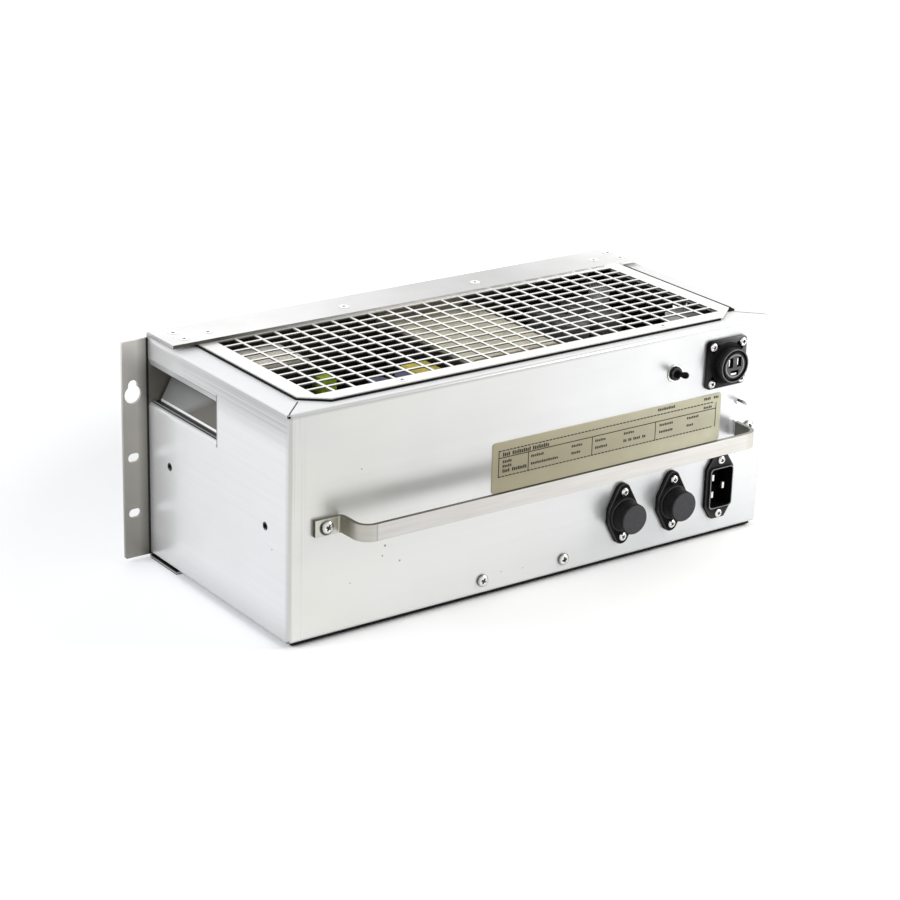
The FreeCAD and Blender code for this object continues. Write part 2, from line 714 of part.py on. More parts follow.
def chassis_wrap():
    tools = [grip_window(side) for side in (-1, 1)]
    tools += corner_reliefs()
    for behind in (d.end_hole_front, d.end_hole_back):
        through = d.body_width + SPARE * 2
        tools.append(rod("X", LEFT - SPARE, back(behind), up(d.end_hole_z), d.end_hole_radius, through))
    panel_rod = d.sheet_gauge + SPARE * 2
    barrel_hole = d.connector_barrel + d.shank_play
    tools.append(rod("Y", CONNECTOR[0], back(-SPARE), CONNECTOR[1], barrel_hole, panel_rod))
    tools.append(rod("Y", TOGGLE[0], back(-SPARE), TOGGLE[1], d.toggle_bush + d.shank_play, panel_rod))
    tools.append(rod("Y", STUD[0], back(-SPARE), STUD[1], d.stud_radius + d.shank_play, panel_rod))
    for x, z in FUSES:
        tools.append(rod("Y", x, back(-SPARE), z, d.fuse_tube + d.shank_play, panel_rod))
    rear_wide = d.inlet_rear_wide + d.shank_play
    rear_high = d.inlet_rear_high + d.shank_play
    tools.append(centred_box(INLET[0], back(-SPARE), INNER_FRONT + SPARE, INLET[1], rear_wide, rear_high))
    for x, z in HANDLE_HEADS + PANEL_HEADS:
        tools.append(panel_hole(x, z, d.pan_shank))
    for x, z in FUSE_HEADS + INLET_HEADS + CONNECTOR_HEADS:
        tools.append(panel_hole(x, z, d.small_shank))
    for x, y in FRAME_HEADS + COVER_HEADS:
        tools.append(plate_hole(x, y, TOP, d.small_shank))
    for x, y in FRAME_HEADS:
        tools.append(plate_hole(x, y, BASE, d.small_shank))
    for x, y in BASE_HEADS:
        tools.append(plate_hole(x, y, BASE, d.pan_shank))
    pierced = cut(box_shell(), *tools)
    lips = [make(side) for side in (-1, 1) for make in (grip_lip, grip_sill)]
    keep("chassis_wrap", fuse(pierced, *lips))


def grip_recess(name, side):
    """Sloped sheet behind a grip window: a heel behind the sill, the slope, and a flange under the top."""
    heel = d.sill_run
    gauge = d.recess_gauge
    slope_end = heel + d.recess_slope_in
    ceiling = d.body_height - d.sheet_gauge
    outline = end_profile(side, [
        (heel, d.grip_low - d.recess_heel),
        (heel, d.grip_low + 0.4),
        (slope_end, d.recess_slope_top),
        (slope_end, ceiling - gauge),
        (slope_end - d.recess_top_run, ceiling - gauge),
        (slope_end - d.recess_top_run, ceiling),
        (slope_end + gauge, ceiling),
        (slope_end + gauge, d.recess_slope_top),
        (heel + gauge, d.grip_low + 0.4),
        (heel + gauge, d.grip_low - d.recess_heel),
    ])
    front = back(d.grip_front - d.recess_heel)
    body = prism("XZ", outline, REAR - d.recess_end_gap, front)
    edge_x = side * (RIGHT - d.rivet_edge_inset)
    edge_heads = [(edge_x, back(y)) for y in (d.rivet_edge_front, d.rivet_edge_back)]
    holes = [plate_hole(x, y, TOP, d.small_shank) for x, y in edge_heads]
    keep(name, cut(body, *holes))


# Rack frame

def ear_holes(side):
    """Two slots and a keyhole in one ear."""
    x = side * d.ear_hole_span / 2
    start = REAR - SPARE
    run = d.frame_gauge + SPARE * 2
    tools = []
    half_straight = d.slot_length / 2 - d.slot_radius
    for step in (0, 1):
        z = up(d.slot_low + step * d.slot_pitch)
        for end in (-1, 1):
            tools.append(rod("Y", x + end * half_straight, start, z, d.slot_radius, run))
        tools.append(centred_box(x, start, start + run, z, half_straight, d.slot_radius))
    narrow = up(d.slot_low + d.key_rise)
    wide = narrow - d.key_drop
    tools.append(rod("Y", x, start, narrow, d.key_narrow, run))
    tools.append(rod("Y", x, start, wide, d.key_wide, run))
    tools.append(box(x - d.key_narrow, x + d.key_narrow, start, start + run, wide, narrow))
    return tools


def mounting_frame():
    gauge = d.frame_gauge
    low = BASE - d.cover_gauge - gauge
    high = LID + d.cover_gauge + gauge
    reach = REAR + gauge - d.flange_reach
    channel_outline = [
        (reach, low),
        (REAR + gauge, low),
        (REAR + gauge, high),
        (reach, high),
        (reach, high - gauge),
        (REAR, high - gauge),
        (REAR, low + gauge),
        (reach, low + gauge),
    ]
    channel = prism("YZ", channel_outline, LEFT, RIGHT, ((d.bend_radius, (1, 2)), (0.6, (5, 6))))
    half = d.rack_width / 2
    ear_low, ear_high = up(d.ear_low), up(d.ear_high)
    ear_outline = [(-half, ear_low), (half, ear_low), (half, ear_high), (-half, ear_high)]
    ears = prism("XZ", ear_outline, REAR + gauge, REAR, ((1.5, (0, 1, 2, 3)),))
    tools = [tool for side in (-1, 1) for tool in ear_holes(side)]
    for x, y in FRAME_HEADS:
        tools.append(plate_hole(x, y, TOP, d.small_shank))
        tools.append(plate_hole(x, y, BASE, d.small_shank))
    keep("mounting_frame", cut(fuse(channel, ears), *tools))


# Covers

def cover_outline(margin=0):
    """The covers' outline: a rectangle with cut front corners, grown by a margin."""
    half = RIGHT - d.grille_end_margin + margin
    front = back(d.grille_front_margin) - margin
    rear = REAR - d.cover_back_gap
    return [
        (-half, rear),
        (-half, front + d.grille_cut_deep),
        (-half + d.grille_cut_across, front),
        (half - d.grille_cut_across, front),
        (half, front + d.grille_cut_deep),
        (half, rear),
    ]


def punched(body, opening, start, pitches, counts, depth):
    """Cuts an opening into a cover and repeats it in columns and rows."""
    pocket = body.newObject("PartDesign::Pocket", "opening")
    pocket.Profile = outline_sketch(body, "XY", opening, (0, 0, start))
    pocket.Reversed = False
    bind(pocket, "Length", depth)
    body.Tip = pocket
    doc.recompute()
    pattern = body.newObject("PartDesign::LinearPattern", "openings")
    pattern.Originals = [pocket]
    pattern.Direction = (origin_plane(body, "X_Axis"), [""])
    pattern.Direction2 = (origin_plane(body, "Y_Axis"), [""])
    pattern.Mode = "Spacing"
    pattern.Mode2 = "Spacing"
    pattern.Spacings = [-1.0]
    pattern.Spacings2 = [-1.0]
    for suffix, pitch, count in zip(("", "2"), pitches, counts):
        bind(pattern, f"Offset{suffix}", pitch)
        bind(pattern, f"Occurrences{suffix}", count)
    body.Tip = pattern
    return body


def top_grille():
    low = LID
    high = LID + d.cover_gauge
    body = prism("XY", cover_outline(), low, high)
    wide = d.grid_pitch_across - d.grid_bar
    deep = d.grid_pitch_deep - d.grid_bar
    left = -(d.grid_columns * d.grid_pitch_across - d.grid_bar) / 2
    front = back(d.grid_front)
    opening = [(left, front), (left + wide, front), (left + wide, front + deep), (left, front + deep)]
    pitches = (d.grid_pitch_across, d.grid_pitch_deep)
    punched(body, opening, high, pitches, (d.grid_columns, d.grid_rows), d.cover_gauge)
    holes = [plate_hole(x, y, TOP, d.small_shank) for x, y in FRAME_HEADS + COVER_HEADS]
    keep("top_grille", cut(body, *holes))


def cover_seal():
    """A flat seal between the grille and the flanges, open at the back."""
    inner = RIGHT - d.end_flange
    rear = REAR - d.cover_back_gap
    front = back(d.front_flange)
    edge = cover_outline(d.seal_margin)
    side = edge[5][0] + d.seal_right
    edge[3] = (edge[3][0] - d.seal_relief, edge[3][1])
    edge[4] = (side, edge[4][1] + d.seal_relief)
    edge[5] = (side, edge[5][1])
    outline = edge + [(inner, rear), (inner, front), (-inner, front), (-inner, rear)]
    body = prism("XY", outline, TOP, LID)
    holes = [plate_hole(x, y, TOP, d.small_shank) for x, y in FRAME_HEADS + COVER_HEADS]
    keep("cover_seal", cut(body, *holes))


def foot_strip():
    """A rubber strip under the front flange."""
    front = back(d.foot_front)
    half = RIGHT - d.foot_inset
    keep("foot_strip", box(-half, half, front, front + d.foot_depth, d.foot_clear, BASE))


def bottom_cover():
    low = BASE - d.cover_gauge
    body = prism("XY", cover_outline(), low, BASE)
    left = -((d.vent_columns - 1) * d.vent_pitch + d.vent_width) / 2
    front = back(d.vent_front)
    opening = [
        (left, front),
        (left + d.vent_width, front),
        (left + d.vent_width, front + d.vent_length),
        (left, front + d.vent_length),
    ]
    pitches = (d.vent_pitch, d.vent_row_pitch)
    punched(body, opening, BASE, pitches, (d.vent_columns, d.vent_rows), d.cover_gauge)
    holes = [plate_hole(x, y, BASE, d.small_shank) for x, y in FRAME_HEADS]
    holes += [plate_hole(x, y, BASE, d.pan_shank) for x, y in BASE_HEADS]
    keep("bottom_cover", cut(body, *holes))


# Handle and nameplate

def front_handle():
    """A flat strap: two tabs on the panel, two slanted legs and the bar."""
    gauge = d.handle_gauge
    bar_front = back(-d.handle_reach)
    bar_back = bar_front + gauge
    tab_front = FRONT - gauge
    near = [
        (-d.handle_half, tab_front),
        (-d.handle_half, FRONT),
        (-d.handle_foot + d.leg_offset, FRONT),
        (-d.handle_shoulder + d.leg_offset, bar_back),
    ]
    far = [(-d.handle_foot, tab_front), (-d.handle_shoulder, bar_front)]

    def shifted(points, sign):
        return [(HANDLE_X - sign * x if sign > 0 else HANDLE_X + x, y) for x, y in points]

    outline = shifted(near, -1) + shifted(near, 1)[::-1] + shifted(far, 1) + shifted(far, -1)[::-1]
    strap_low = up(d.handle_z - d.handle_height / 2)
    strap_high = up(d.handle_z + d.handle_height / 2)
    rounds = (
        (d.foot_radius + gauge, (2, 5)),
        (d.shoulder_radius, (3, 4)),
        (d.foot_radius, (8, 11)),
        (d.shoulder_radius + gauge, (9, 10)),
    )
    body = prism("XY", outline, strap_low, strap_high, rounds)
    holes = [panel_hole(x, z, d.pan_shank) for x, z in HANDLE_HEADS]
    keep("front_handle", cut(body, *holes))
    heads = [panel_screw(x, z, tab_front, d.pan_radius, d.pan_high, d.pan_shank) for x, z in HANDLE_HEADS]
    keep("handle_screws", group(*heads))


def nameplate():
    left = across(d.plate_left)
    low = up(d.plate_low)
    right = left + d.plate_width
    high = low + d.plate_height
    outline = [(left, low), (right, low), (right, high), (left, high)]
    keep("nameplate", prism("XZ", outline, FRONT, back(-d.plate_gauge), ((d.plate_radius, (0, 1, 2, 3)),)))


# Round connector

def connector():
    x, z = CONNECTOR
    half = d.connector_flange / 2
    outline = [(x - half, z - half), (x + half, z - half), (x + half, z + half), (x - half, z + half)]
    flange_front = back(-d.connector_flange_gauge)
    flange = prism("XZ", outline, FRONT, flange_front, ((d.connector_corner, (0, 1, 2, 3)),))
    barrel_front = back(-d.connector_reach)
    shell = turned([
        (0, back(d.connector_rear)),
        (0, barrel_front),
        (d.connector_barrel, barrel_front),
        (d.connector_barrel, barrel_front + 2.5),
        (d.connector_root, flange_front),
        (d.connector_root, FRONT),
        (d.connector_barrel, FRONT),
        (d.connector_barrel, back(d.connector_rear)),
    ], x, z)
    bore_length = d.connector_reach + d.connector_rear + SPARE * 2
    tools = [rod("Y", x, barrel_front - SPARE, z, d.connector_bore, bore_length)]
    tools += [panel_hole(*head, d.small_shank) for head in CONNECTOR_HEADS]
    keep("connector_body", cut(fuse(flange, shell), *tools))
    connector_inside(x, z)
    heads = [panel_screw(hx, hz, flange_front, d.small_radius, d.small_high, d.small_shank)
             for hx, hz in CONNECTOR_HEADS]
    keep("connector_screws", group(*heads))


def connector_inside(x, z):
    """The insert with three pockets, and a blade standing in each."""
    face = back(-d.connector_face)
    insert = turned([
        (0, back(d.connector_rear - 2)),
        (0, face),
        (d.connector_insert_radius, face),
        (d.connector_insert_radius, face + 3.0),
        (d.connector_bore, face + 3.0),
        (d.connector_bore, back(d.connector_rear - 2)),
    ], x, z)
    spread = d.contact_spread
    rise = 0.55 * spread
    blades = [(-0.8 * spread, rise, 1), (0.8 * spread, rise, 1), (0 * spread, -1.1 * spread, 0)]
    pockets = []
    contacts = []
    for shift_x, shift_z, upright in blades:
        sizes = [(d.pocket_wide / 2, d.pocket_long / 2), (d.contact_wide / 2, d.contact_long / 2)]
        if not upright:
            sizes = [(high, wide) for wide, high in sizes]
        pocket_size, blade_size = sizes
        floor = face + d.pocket_deep
        pockets.append(centred_box(x + shift_x, face - SPARE, floor, z + shift_z, *pocket_size))
        aside_x, aside_z = (d.contact_aside, as_dim(0)) if upright else (as_dim(0), d.contact_aside)
        middle = (x + shift_x - aside_x, z + shift_z - aside_z)
        contacts.append(centred_box(middle[0], face + 1.2, floor, middle[1], *blade_size))
    keep("connector_insert", cut(insert, *pockets))
    keep("connector_contacts", group(*contacts))


# Toggle switch

def toggle():
    x, z = TOGGLE
    case_rear = INNER_FRONT + d.toggle_case_deep
    case = centred_box(x, INNER_FRONT, case_rear, z, d.toggle_case_wide / 2, d.toggle_case_high / 2)
    bush_front = back(-d.toggle_bush_reach)
    bush = rod("Y", x, bush_front, z, d.toggle_bush, d.toggle_bush_reach + d.sheet_gauge)
    tag_end = case_rear + 4.0
    tag_size = (as_dim(1.0), as_dim(0.4))
    tags = [centred_box(x, case_rear, tag_end, z + step * 4.4, *tag_size) for step in (-1, 0, 1)]
    bore = rod("Y", x, bush_front - SPARE, z, d.toggle_bore, d.toggle_bush_reach + SPARE + d.sheet_gauge)
    keep("toggle_switch", cut(fuse(case, bush, *tags), bore))
    hole_radius = d.toggle_bush + d.shank_play
    washer_front = back(-d.toggle_washer_gauge)
    hole = rod("Y", x, bush_front, z, hole_radius, d.toggle_bush_reach + SPARE)
    washer = rod("Y", x, washer_front, z, d.toggle_washer_radius, d.toggle_washer_gauge)
    keep("toggle_washer", cut(washer, hole))
    nut_front = back(-d.toggle_nut_reach)
    nut = turned([
        (hole_radius, washer_front),
        (hole_radius, nut_front),
        (d.toggle_nut_radius - 0.7, nut_front),
        (d.toggle_nut_radius, nut_front + 0.7),
        (d.toggle_nut_radius, washer_front),
    ], x, z)
    keep("toggle_nut", nut)
    stick = turned([
        (0, 0),
        (d.lever_neck, 0),
        (d.lever_neck, -d.lever_length / 2.2),
        (d.lever_tip, -d.lever_length + 2.6),
        (d.lever_tip, -d.lever_length + 1.2),
        (d.lever_tip - 1.2, -d.lever_length),
        (0, -d.lever_length),
    ], 0, 0)
    turn = FreeCAD.Rotation(FreeCAD.Vector(1, 0, 0), -d.toggle_tilt.value)
    place(stick, x, back(-d.toggle_pivot), z, turn)
    ball = doc.addObject("Part::Sphere", "ball")
    bind(ball, "Radius", d.lever_ball)
    place(ball, x, back(-d.toggle_pivot), z)
    keep("toggle_lever", fuse(stick, ball))


# Earth stud

def earth_stud():
    x, z = STUD
    root = rod("Y", x, back(-d.stud_nut_high), z, d.stud_root, d.stud_nut_high + d.stud_tail)
    free_end = rod("Y", x, back(-d.stud_reach), z, d.stud_radius, d.stud_reach - d.stud_nut_high)
    keep("earth_stud", fuse(root, free_end))
    nut = hexagon_bar(x, back(-d.stud_nut_high), z, d.stud_nut_radius, d.stud_nut_high)
    locknut = hexagon_bar(x, INNER_FRONT, z, d.stud_nut_radius, d.stud_nut_high)
    hole_length = d.stud_reach + d.stud_tail + SPARE
    hole = rod("Y", x, back(-d.stud_reach), z, d.stud_root + d.shank_play, hole_length)
    keep("earth_nut", cut(group(nut, locknut), hole))


# Fuse holders

def fuse_holder(number, x, z):
    side, shoulder = d.fuse_flange_side, d.fuse_flange_shoulder
    tip, end = d.fuse_flange_tip, d.fuse_flange_end
    corners = [(tip, -end), (side, -shoulder), (side, shoulder), (tip, end)]
    outline = [(x + u, z + v) for u, v in corners] + [(x - u, z + v) for u, v in corners[::-1]]
    flange_front = back(-d.fuse_flange_gauge)
    flange = prism("XZ", outline, FRONT, flange_front, ((5.0, (0, 3, 4, 7)), (7.0, (1, 2, 5, 6))))
    collar_front = back(-d.fuse_collar_reach)
    collar = rod("Y", x, collar_front, z, d.fuse_collar, d.fuse_collar_reach)
    tube = rod("Y", x, FRONT, z, d.fuse_tube, d.fuse_tube_length)
    tag = box(x - 3, x + 3, back(d.fuse_tube_length), back(d.fuse_tube_length + 8), z - 0.4, z + 0.4)
    bore_length = d.fuse_collar_reach + d.fuse_tube_length - d.fuse_tube_end + SPARE
    bore = rod("Y", x, collar_front - SPARE, z, d.fuse_bore, bore_length)
    heads = [head for head in FUSE_HEADS if abs(head[0].value - x.value) < 1]
    holes = [panel_hole(*head, d.small_shank) for head in heads]
    keep(f"fuse_holder_{number}", cut(fuse(flange, collar, tube, tag), bore, *holes))
    cap_foot = collar_front - d.cap_gap
    cap_face = back(-d.cap_reach)
    carrier_end = back(d.cap_stem_length)
    link_front = back(-d.link_front)
    cap = turned([
        (0, link_front),
        (0, cap_face),
        (d.cap_top_radius - d.cap_edge, cap_face),
        (d.cap_top_radius, cap_face + d.cap_edge),
        (d.cap_radius, cap_foot),
        (d.cap_stem, cap_foot),
        (d.cap_stem, carrier_end),
        (d.link_bore, carrier_end),
        (d.link_bore, link_front),
    ], x, z)
    keep(f"fuse_cap_{number}", cap)
    keep(f"fuse_link_{number}", rod("Y", x, link_front, z, d.link_radius, d.link_length))


def fuse_screws():
    face = back(-d.fuse_flange_gauge)
    heads = [panel_screw(x, z, face, d.small_radius, d.small_high, d.small_shank) for x, z in FUSE_HEADS]
    keep("fuse_holder_screws", group(*heads))


# Mains inlet

def inlet():
    x, z = INLET
    wide, high = d.inlet_half_wide, d.inlet_half_high
    tip, side = d.inlet_tip, d.inlet_side
    corners = [(tip, -high), (wide, -side), (wide, side), (tip, high)]
    outline = [(x + u, z + v) for u, v in corners] + [(x - u, z + v) for u, v in corners[::-1]]
    flange_front = back(-d.inlet_flange_gauge)
    flange = prism("XZ", outline, FRONT, flange_front, ((2.5, (0, 3, 4, 7)),))
    collar_front = back(-d.inlet_reach)

    def window(half_wide, half_high, start, end, rounds=()):
        points = [(x - half_wide, z - half_high), (x + half_wide, z - half_high),
                  (x + half_wide, z + half_high), (x - half_wide, z + half_high)]
        return prism("XZ", points, start, end, rounds)

    rounds = ((d.inlet_corner, (0, 1, 2, 3)),)
    collar = window(d.collar_half_wide, d.collar_half_high, FRONT, collar_front, rounds)
    rear = window(d.inlet_rear_wide, d.inlet_rear_high, back(d.inlet_rear), FRONT)
    mouth_size = (d.inlet_mouth_wide, d.inlet_mouth_high)
    mouth = window(*mouth_size, back(d.inlet_floor), collar_front - SPARE, rounds)
    blades = []
    slots = []
    tail = back(d.inlet_rear + d.blade_tail)
    places = (
        (-d.blade_shift, d.blade_rise, d.blade_tip),
        (-d.blade_shift, -d.blade_rise, d.blade_tip),
        (d.blade_shift, 0, d.earth_tip),
    )
    for shift, rise, reach in places:
        size = (d.blade_thick / 2, d.blade_long / 2)
        blades.append(centred_box(x + shift, back(-reach), tail, z + rise, *size))
        slots.append(centred_box(x + shift, back(0), tail, z + rise, *size))
    holes = [panel_hole(*head, d.small_shank) for head in INLET_HEADS]
    keep("inlet_housing", cut(fuse(flange, collar, rear), mouth, *slots, *holes))
    keep("inlet_pins", group(*blades))
    size = (d.small_radius, d.small_high, d.small_shank)
    heads = [panel_screw(hx, hz, flange_front, *size) for hx, hz in INLET_HEADS]
    keep("inlet_screws", group(*heads))


# Screws of the panel, the covers and the frame

def sheet_fasteners():
    heads = [panel_screw(x, z, FRONT, d.pan_radius, d.pan_high, d.pan_shank) for x, z in PANEL_HEADS]
    keep("panel_screws", group(*heads))
    frame_top = LID + d.cover_gauge + d.frame_gauge
    upper = [flush_screw(x, y, frame_top) for x, y in FRAME_HEADS]
    lower = [rod("Z", x, y, d.rivet_sunk, d.small_shank, d.shank_length) for x, y in FRAME_HEADS]
    keep("frame_rivets", group(*upper, *lower))
    cover_top = LID + d.cover_gauge
    keep("cover_screws", group(*[flush_screw(x, y, cover_top) for x, y in COVER_HEADS]))
    low_heads = []
    for x, y in BASE_HEADS:
        head = rod("Z", x, y, 0, d.pan_radius, BASE - d.cover_gauge)
        shank = rod("Z", x, y, BASE - d.cover_gauge, d.pan_shank, d.shank_length)
        low_heads.append(fuse(head, shank))
    keep("base_screws", group(*low_heads))


# Insides

def base_tray():
    gauge = d.sheet_gauge
    low = BASE + gauge
    rear = REAR - d.cover_back_gap
    outline = [
        (INNER_FRONT, low),
        (rear, low),
        (rear, TRAY_FLOOR),
        (INNER_FRONT + gauge, TRAY_FLOOR),
        (INNER_FRONT + gauge, up(d.tray_lip)),
        (INNER_FRONT, up(d.tray_lip)),
    ]
    rounds = ((d.tray_bend, (0,)), (d.tray_bend - gauge, (3,)))
    body = prism("YZ", outline, LEFT + d.tray_inset, RIGHT - d.tray_inset, rounds)
    inlet_notch = centred_box(
        INLET[0], back(0), back(d.inlet_rear), INLET[1], d.inlet_half_wide + SPARE, d.inlet_half_high
    )
    tools = [inlet_notch]
    for x, z in FUSES:
        screw_z = z - d.fuse_screw_rise
        tools.append(rod("Y", x, INNER_FRONT - SPARE, screw_z, d.small_radius + SPARE, d.sheet_gauge * 4))
    tools += [panel_hole(x, z, d.pan_shank) for x, z in PANEL_HEADS]
    tools += [plate_hole(x, y, BASE, d.small_shank) for x, y in FRAME_HEADS]
    tools += [plate_hole(x, y, BASE, d.pan_shank) for x, y in BASE_HEADS]
    air_low = d.board_left + d.post_inset * 2
    tools.append(box(across(air_low), across(d.board_width), back(50), back(150), BASE, up(d.tray_lip)))
    power_low = d.power_left + d.post_inset * 2
    power_high = d.power_left + d.power_width - d.post_inset * 2
    tools.append(box(across(power_low), across(power_high), back(75), back(165), BASE, up(d.tray_lip)))
    keep("base_tray", cut(body, *tools))


def board(name, posts_name, left, width, front, depth, low, floor, inset):
    """A circuit board on four standoffs."""
    x0, x1 = across(left), across(left + width)
    y0, y1 = back(front), back(front + depth)
    keep(name, box(x0, x1, y0, y1, up(low), up(low + d.board_gauge)))
    posts = []
    for x in (x0 + inset, x1 - inset):
        for y in (y0 + d.post_inset, y1 - d.post_inset):
            posts.append(rod("Z", x, y, floor, d.post_radius, up(low) - floor))
    keep(posts_name, group(*posts))


def fin_pitch():
    return (d.sink_width - d.fin_gauge) / (int(d.sink_fins.value) - 1)


def heat_sink():
    """A base with upright fins, cut by even channels."""
    x0 = across(d.sink_left)
    floor = up(d.board_z + d.board_gauge)
    count = int(d.sink_fins.value)
    pitch = fin_pitch()
    y0 = back(d.sink_front)
    y1 = y0 + d.sink_depth
    block = box(x0, x0 + d.sink_width, y0, y1, floor, up(d.sink_top))
    channels = []
    for step in range(count - 1):
        start = x0 + step * pitch + d.fin_gauge
        end = start + pitch - d.fin_gauge
        channels.append(box(start, end, y0 - SPARE, y1 + SPARE, floor + d.sink_base, up(d.sink_top) + SPARE))
    keep("heat_sink", cut(block, *channels))


def wound_core(core_name, coil_name, middle, wide, front, depth, floor, top, leg, yoke, coil_wide):
    """A rectangular ring of laminations with a coil round its upper leg."""
    x = across(middle)
    y0, y1 = back(front), back(front + depth)
    ring = box(x - wide / 2, x + wide / 2, y0, y1, floor, up(top))
    window = box(x - wide, x + wide, y0 + yoke, y1 - yoke, floor + leg, up(top) - leg)
    keep(core_name, cut(ring, window))
    play = d.coil_play
    half = coil_wide / 2
    swell = d.coil_top - top
    coil = box(x - half, x + half, y0 + yoke + play, y1 - yoke - play, up(top - swell) - leg, up(d.coil_top))
    rounded = soften(coil, d.coil_round, lambda first, second: abs(first.y - second.y) > 1)
    bore = box(x - wide / 2 - play, x + wide / 2 + play, y0, y1, up(top) - leg - play, up(top) + play)
    keep(coil_name, cut(rounded, bore))


def can(x, y, floor, radius, high):
    """A capacitor can with a rolled edge."""
    top = floor + high
    return turned([(0, floor), (radius, floor), (radius, top - 1.0), (radius - 1.0, top), (0, top)], x, 0, y)


def block(left, front, floor, wide, deep, high):
    """A plain component that stands on a board."""
    x, y = across(left), back(front)
    return box(x, x + wide, y, y + deep, floor, floor + high)


def boards():
    main_low = d.board_z
    main_plan = (d.board_left, d.board_width, d.board_front, d.board_depth)
    board("main_board", "board_standoffs", *main_plan, main_low,
          TRAY_FLOOR, d.post_inset)
    left = d.sink_left + d.control_inset
    width = d.sink_width - d.control_inset * 2
    board("control_board", "control_posts", left, width, d.control_front, d.control_depth, d.control_z,
          up(d.sink_top), fin_pitch())
    power_plan = (d.power_left, d.power_width, d.power_front, d.power_depth)
    board("power_board", "power_standoffs", *power_plan, d.power_z,
          TRAY_FLOOR, d.post_inset)


def components():
    """What stands on the control board and on the power board."""
    floor = up(d.control_z + d.board_gauge)
    keep("aux_transformer", block(d.aux_left, d.aux_front, floor, d.aux_wide, d.aux_deep, d.aux_high))
    terminal_size = (d.terminal_side, d.terminal_side, d.terminal_high)
    keep("earth_terminal", block(d.terminal_left, d.terminal_front, floor, *terminal_size))
    small = []
    for step in (0, 1):
        x = across(d.small_can_left + step * d.small_can_pitch)
        small.append(can(x, back(d.small_can_front), floor, d.small_can_radius, d.small_can_high))
    keep("small_capacitors", group(*small))
    floor = up(d.power_z + d.board_gauge)
    keep("output_relay", block(d.relay_left, d.relay_front, floor, d.relay_wide, d.relay_deep, d.relay_high))
    keep("signal_plug", block(d.plug_left, d.plug_front, floor, d.plug_wide, d.plug_deep, d.plug_high))
    large = []
    for i in (0, 1):
        for j in (0, 1):
            x = across(d.can_left + i * d.can_pitch)
            large.append(can(x, back(d.can_front + j * d.can_pitch), floor, d.can_radius, d.can_high))
    keep("bulk_capacitors", group(*large))


def insides():
    base_tray()
    boards()
    heat_sink()
    components()
    wound_core("transformer_core", "transformer_coil", d.core_x, d.core_wide, d.core_front, d.core_depth,
               TRAY_FLOOR, d.core_top, d.core_leg, d.core_yoke, d.coil_wide)
    wound_core("choke_core", "choke_coil", d.choke_x, d.choke_wide, d.choke_front, d.choke_depth,
               up(d.board_z + d.board_gauge), d.choke_top, d.choke_leg, d.choke_yoke, d.choke_coil_wide)


doc_steps = (
    chassis_wrap, mounting_frame, top_grille, cover_seal, foot_strip, bottom_cover, front_handle, nameplate,
    connector, toggle, earth_stud, fuse_screws, inlet, sheet_fasteners, insides,
)
for step in doc_steps:
    step()
grip_recess("left_grip_recess", -1)
grip_recess("right_grip_recess", 1)
for number, (x, z) in enumerate(FUSES, start=1):
    fuse_holder(number, x, z)

doc.recompute()
for item in doc.Objects:
    if "Invalid" in item.State or "Error" in item.State:
        raise RuntimeError(f"{item.Name} ({item.Label}) failed: {item.State}")
os.makedirs("parts", exist_ok=True)
for name, item in PARTS.items():
    shape = item.Shape
    if shape.isNull() or not shape.isValid() or not shape.Solids:
        raise RuntimeError(f"{name} has no valid solid")
    shape.exportStep(f"parts/{name}.step")
print(len(PARTS), "sub-parts written")
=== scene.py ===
"""Looks of the rack power supply module: folded sheet box, rack frame, punched grille, handle and fittings.

Sizes are millimetres in the box's own measure: x from its left end, y from its front face to the back, z from
its bottom. metres() takes them to the shared frame.
"""
import math

import bpy
import numpy as np
from mathutils import Matrix


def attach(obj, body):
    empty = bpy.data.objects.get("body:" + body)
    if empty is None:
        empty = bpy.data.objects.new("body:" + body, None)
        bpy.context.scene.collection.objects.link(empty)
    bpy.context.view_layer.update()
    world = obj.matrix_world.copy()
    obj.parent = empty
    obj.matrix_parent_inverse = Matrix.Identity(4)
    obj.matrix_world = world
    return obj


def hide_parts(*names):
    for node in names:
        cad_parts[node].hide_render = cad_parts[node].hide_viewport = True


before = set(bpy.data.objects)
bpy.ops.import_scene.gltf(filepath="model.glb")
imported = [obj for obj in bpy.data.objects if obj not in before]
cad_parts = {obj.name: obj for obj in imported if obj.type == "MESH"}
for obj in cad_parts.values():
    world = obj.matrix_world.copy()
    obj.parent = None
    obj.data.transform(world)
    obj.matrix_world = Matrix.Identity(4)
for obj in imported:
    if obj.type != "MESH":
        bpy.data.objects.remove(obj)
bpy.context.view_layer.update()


# Places on the module

BOX_ORIGIN = np.array([219.3, 83.25, -3.5])
BOX_WIDE, BOX_HIGH = 438.6, 172.0
BOX_HALF = BOX_WIDE / 2
WINDOW_FRONT, WINDOW_SILL, WINDOW_TOP = 95.4, 122.4, 150.5
FLANGE_FRONT, FRAME_FACE, FRAME_BACK = 156.5, 194.0, 196.5
STRIP_TOP, GRILLE_TOP, COIL_TOP = 177.0, 174.5, 163.0
PUNCHED_HALF, PUNCHED_FRONT = 188.0, 19.5
HANDLE_MIDDLE, HANDLE_Z = 225.1, 84.9
HANDLE_LEG, HANDLE_SCREW, FOOT_FACE = 171.0, 194.9, -3.0
CONNECTOR = (394.0, 141.3)
INSERT_FACE = -12.2
TOGGLE = (344.2, 140.9)
EARTH_STUD = (410.5, 107.2)
FUSE_MIDDLES = [(297.7, 37.2), (346.4, 37.2)]
INLET = (394.7, 39.2)
FUSE_FLANGE, CONNECTOR_FLANGE, INLET_FLANGE = 4.0, 3.0, 3.0
PLATE_LEFT, PLATE_LOW, PLATE_WIDE, PLATE_HIGH, PLATE_THICK = 174.3, 77.7, 218.2, 39.3, 0.8
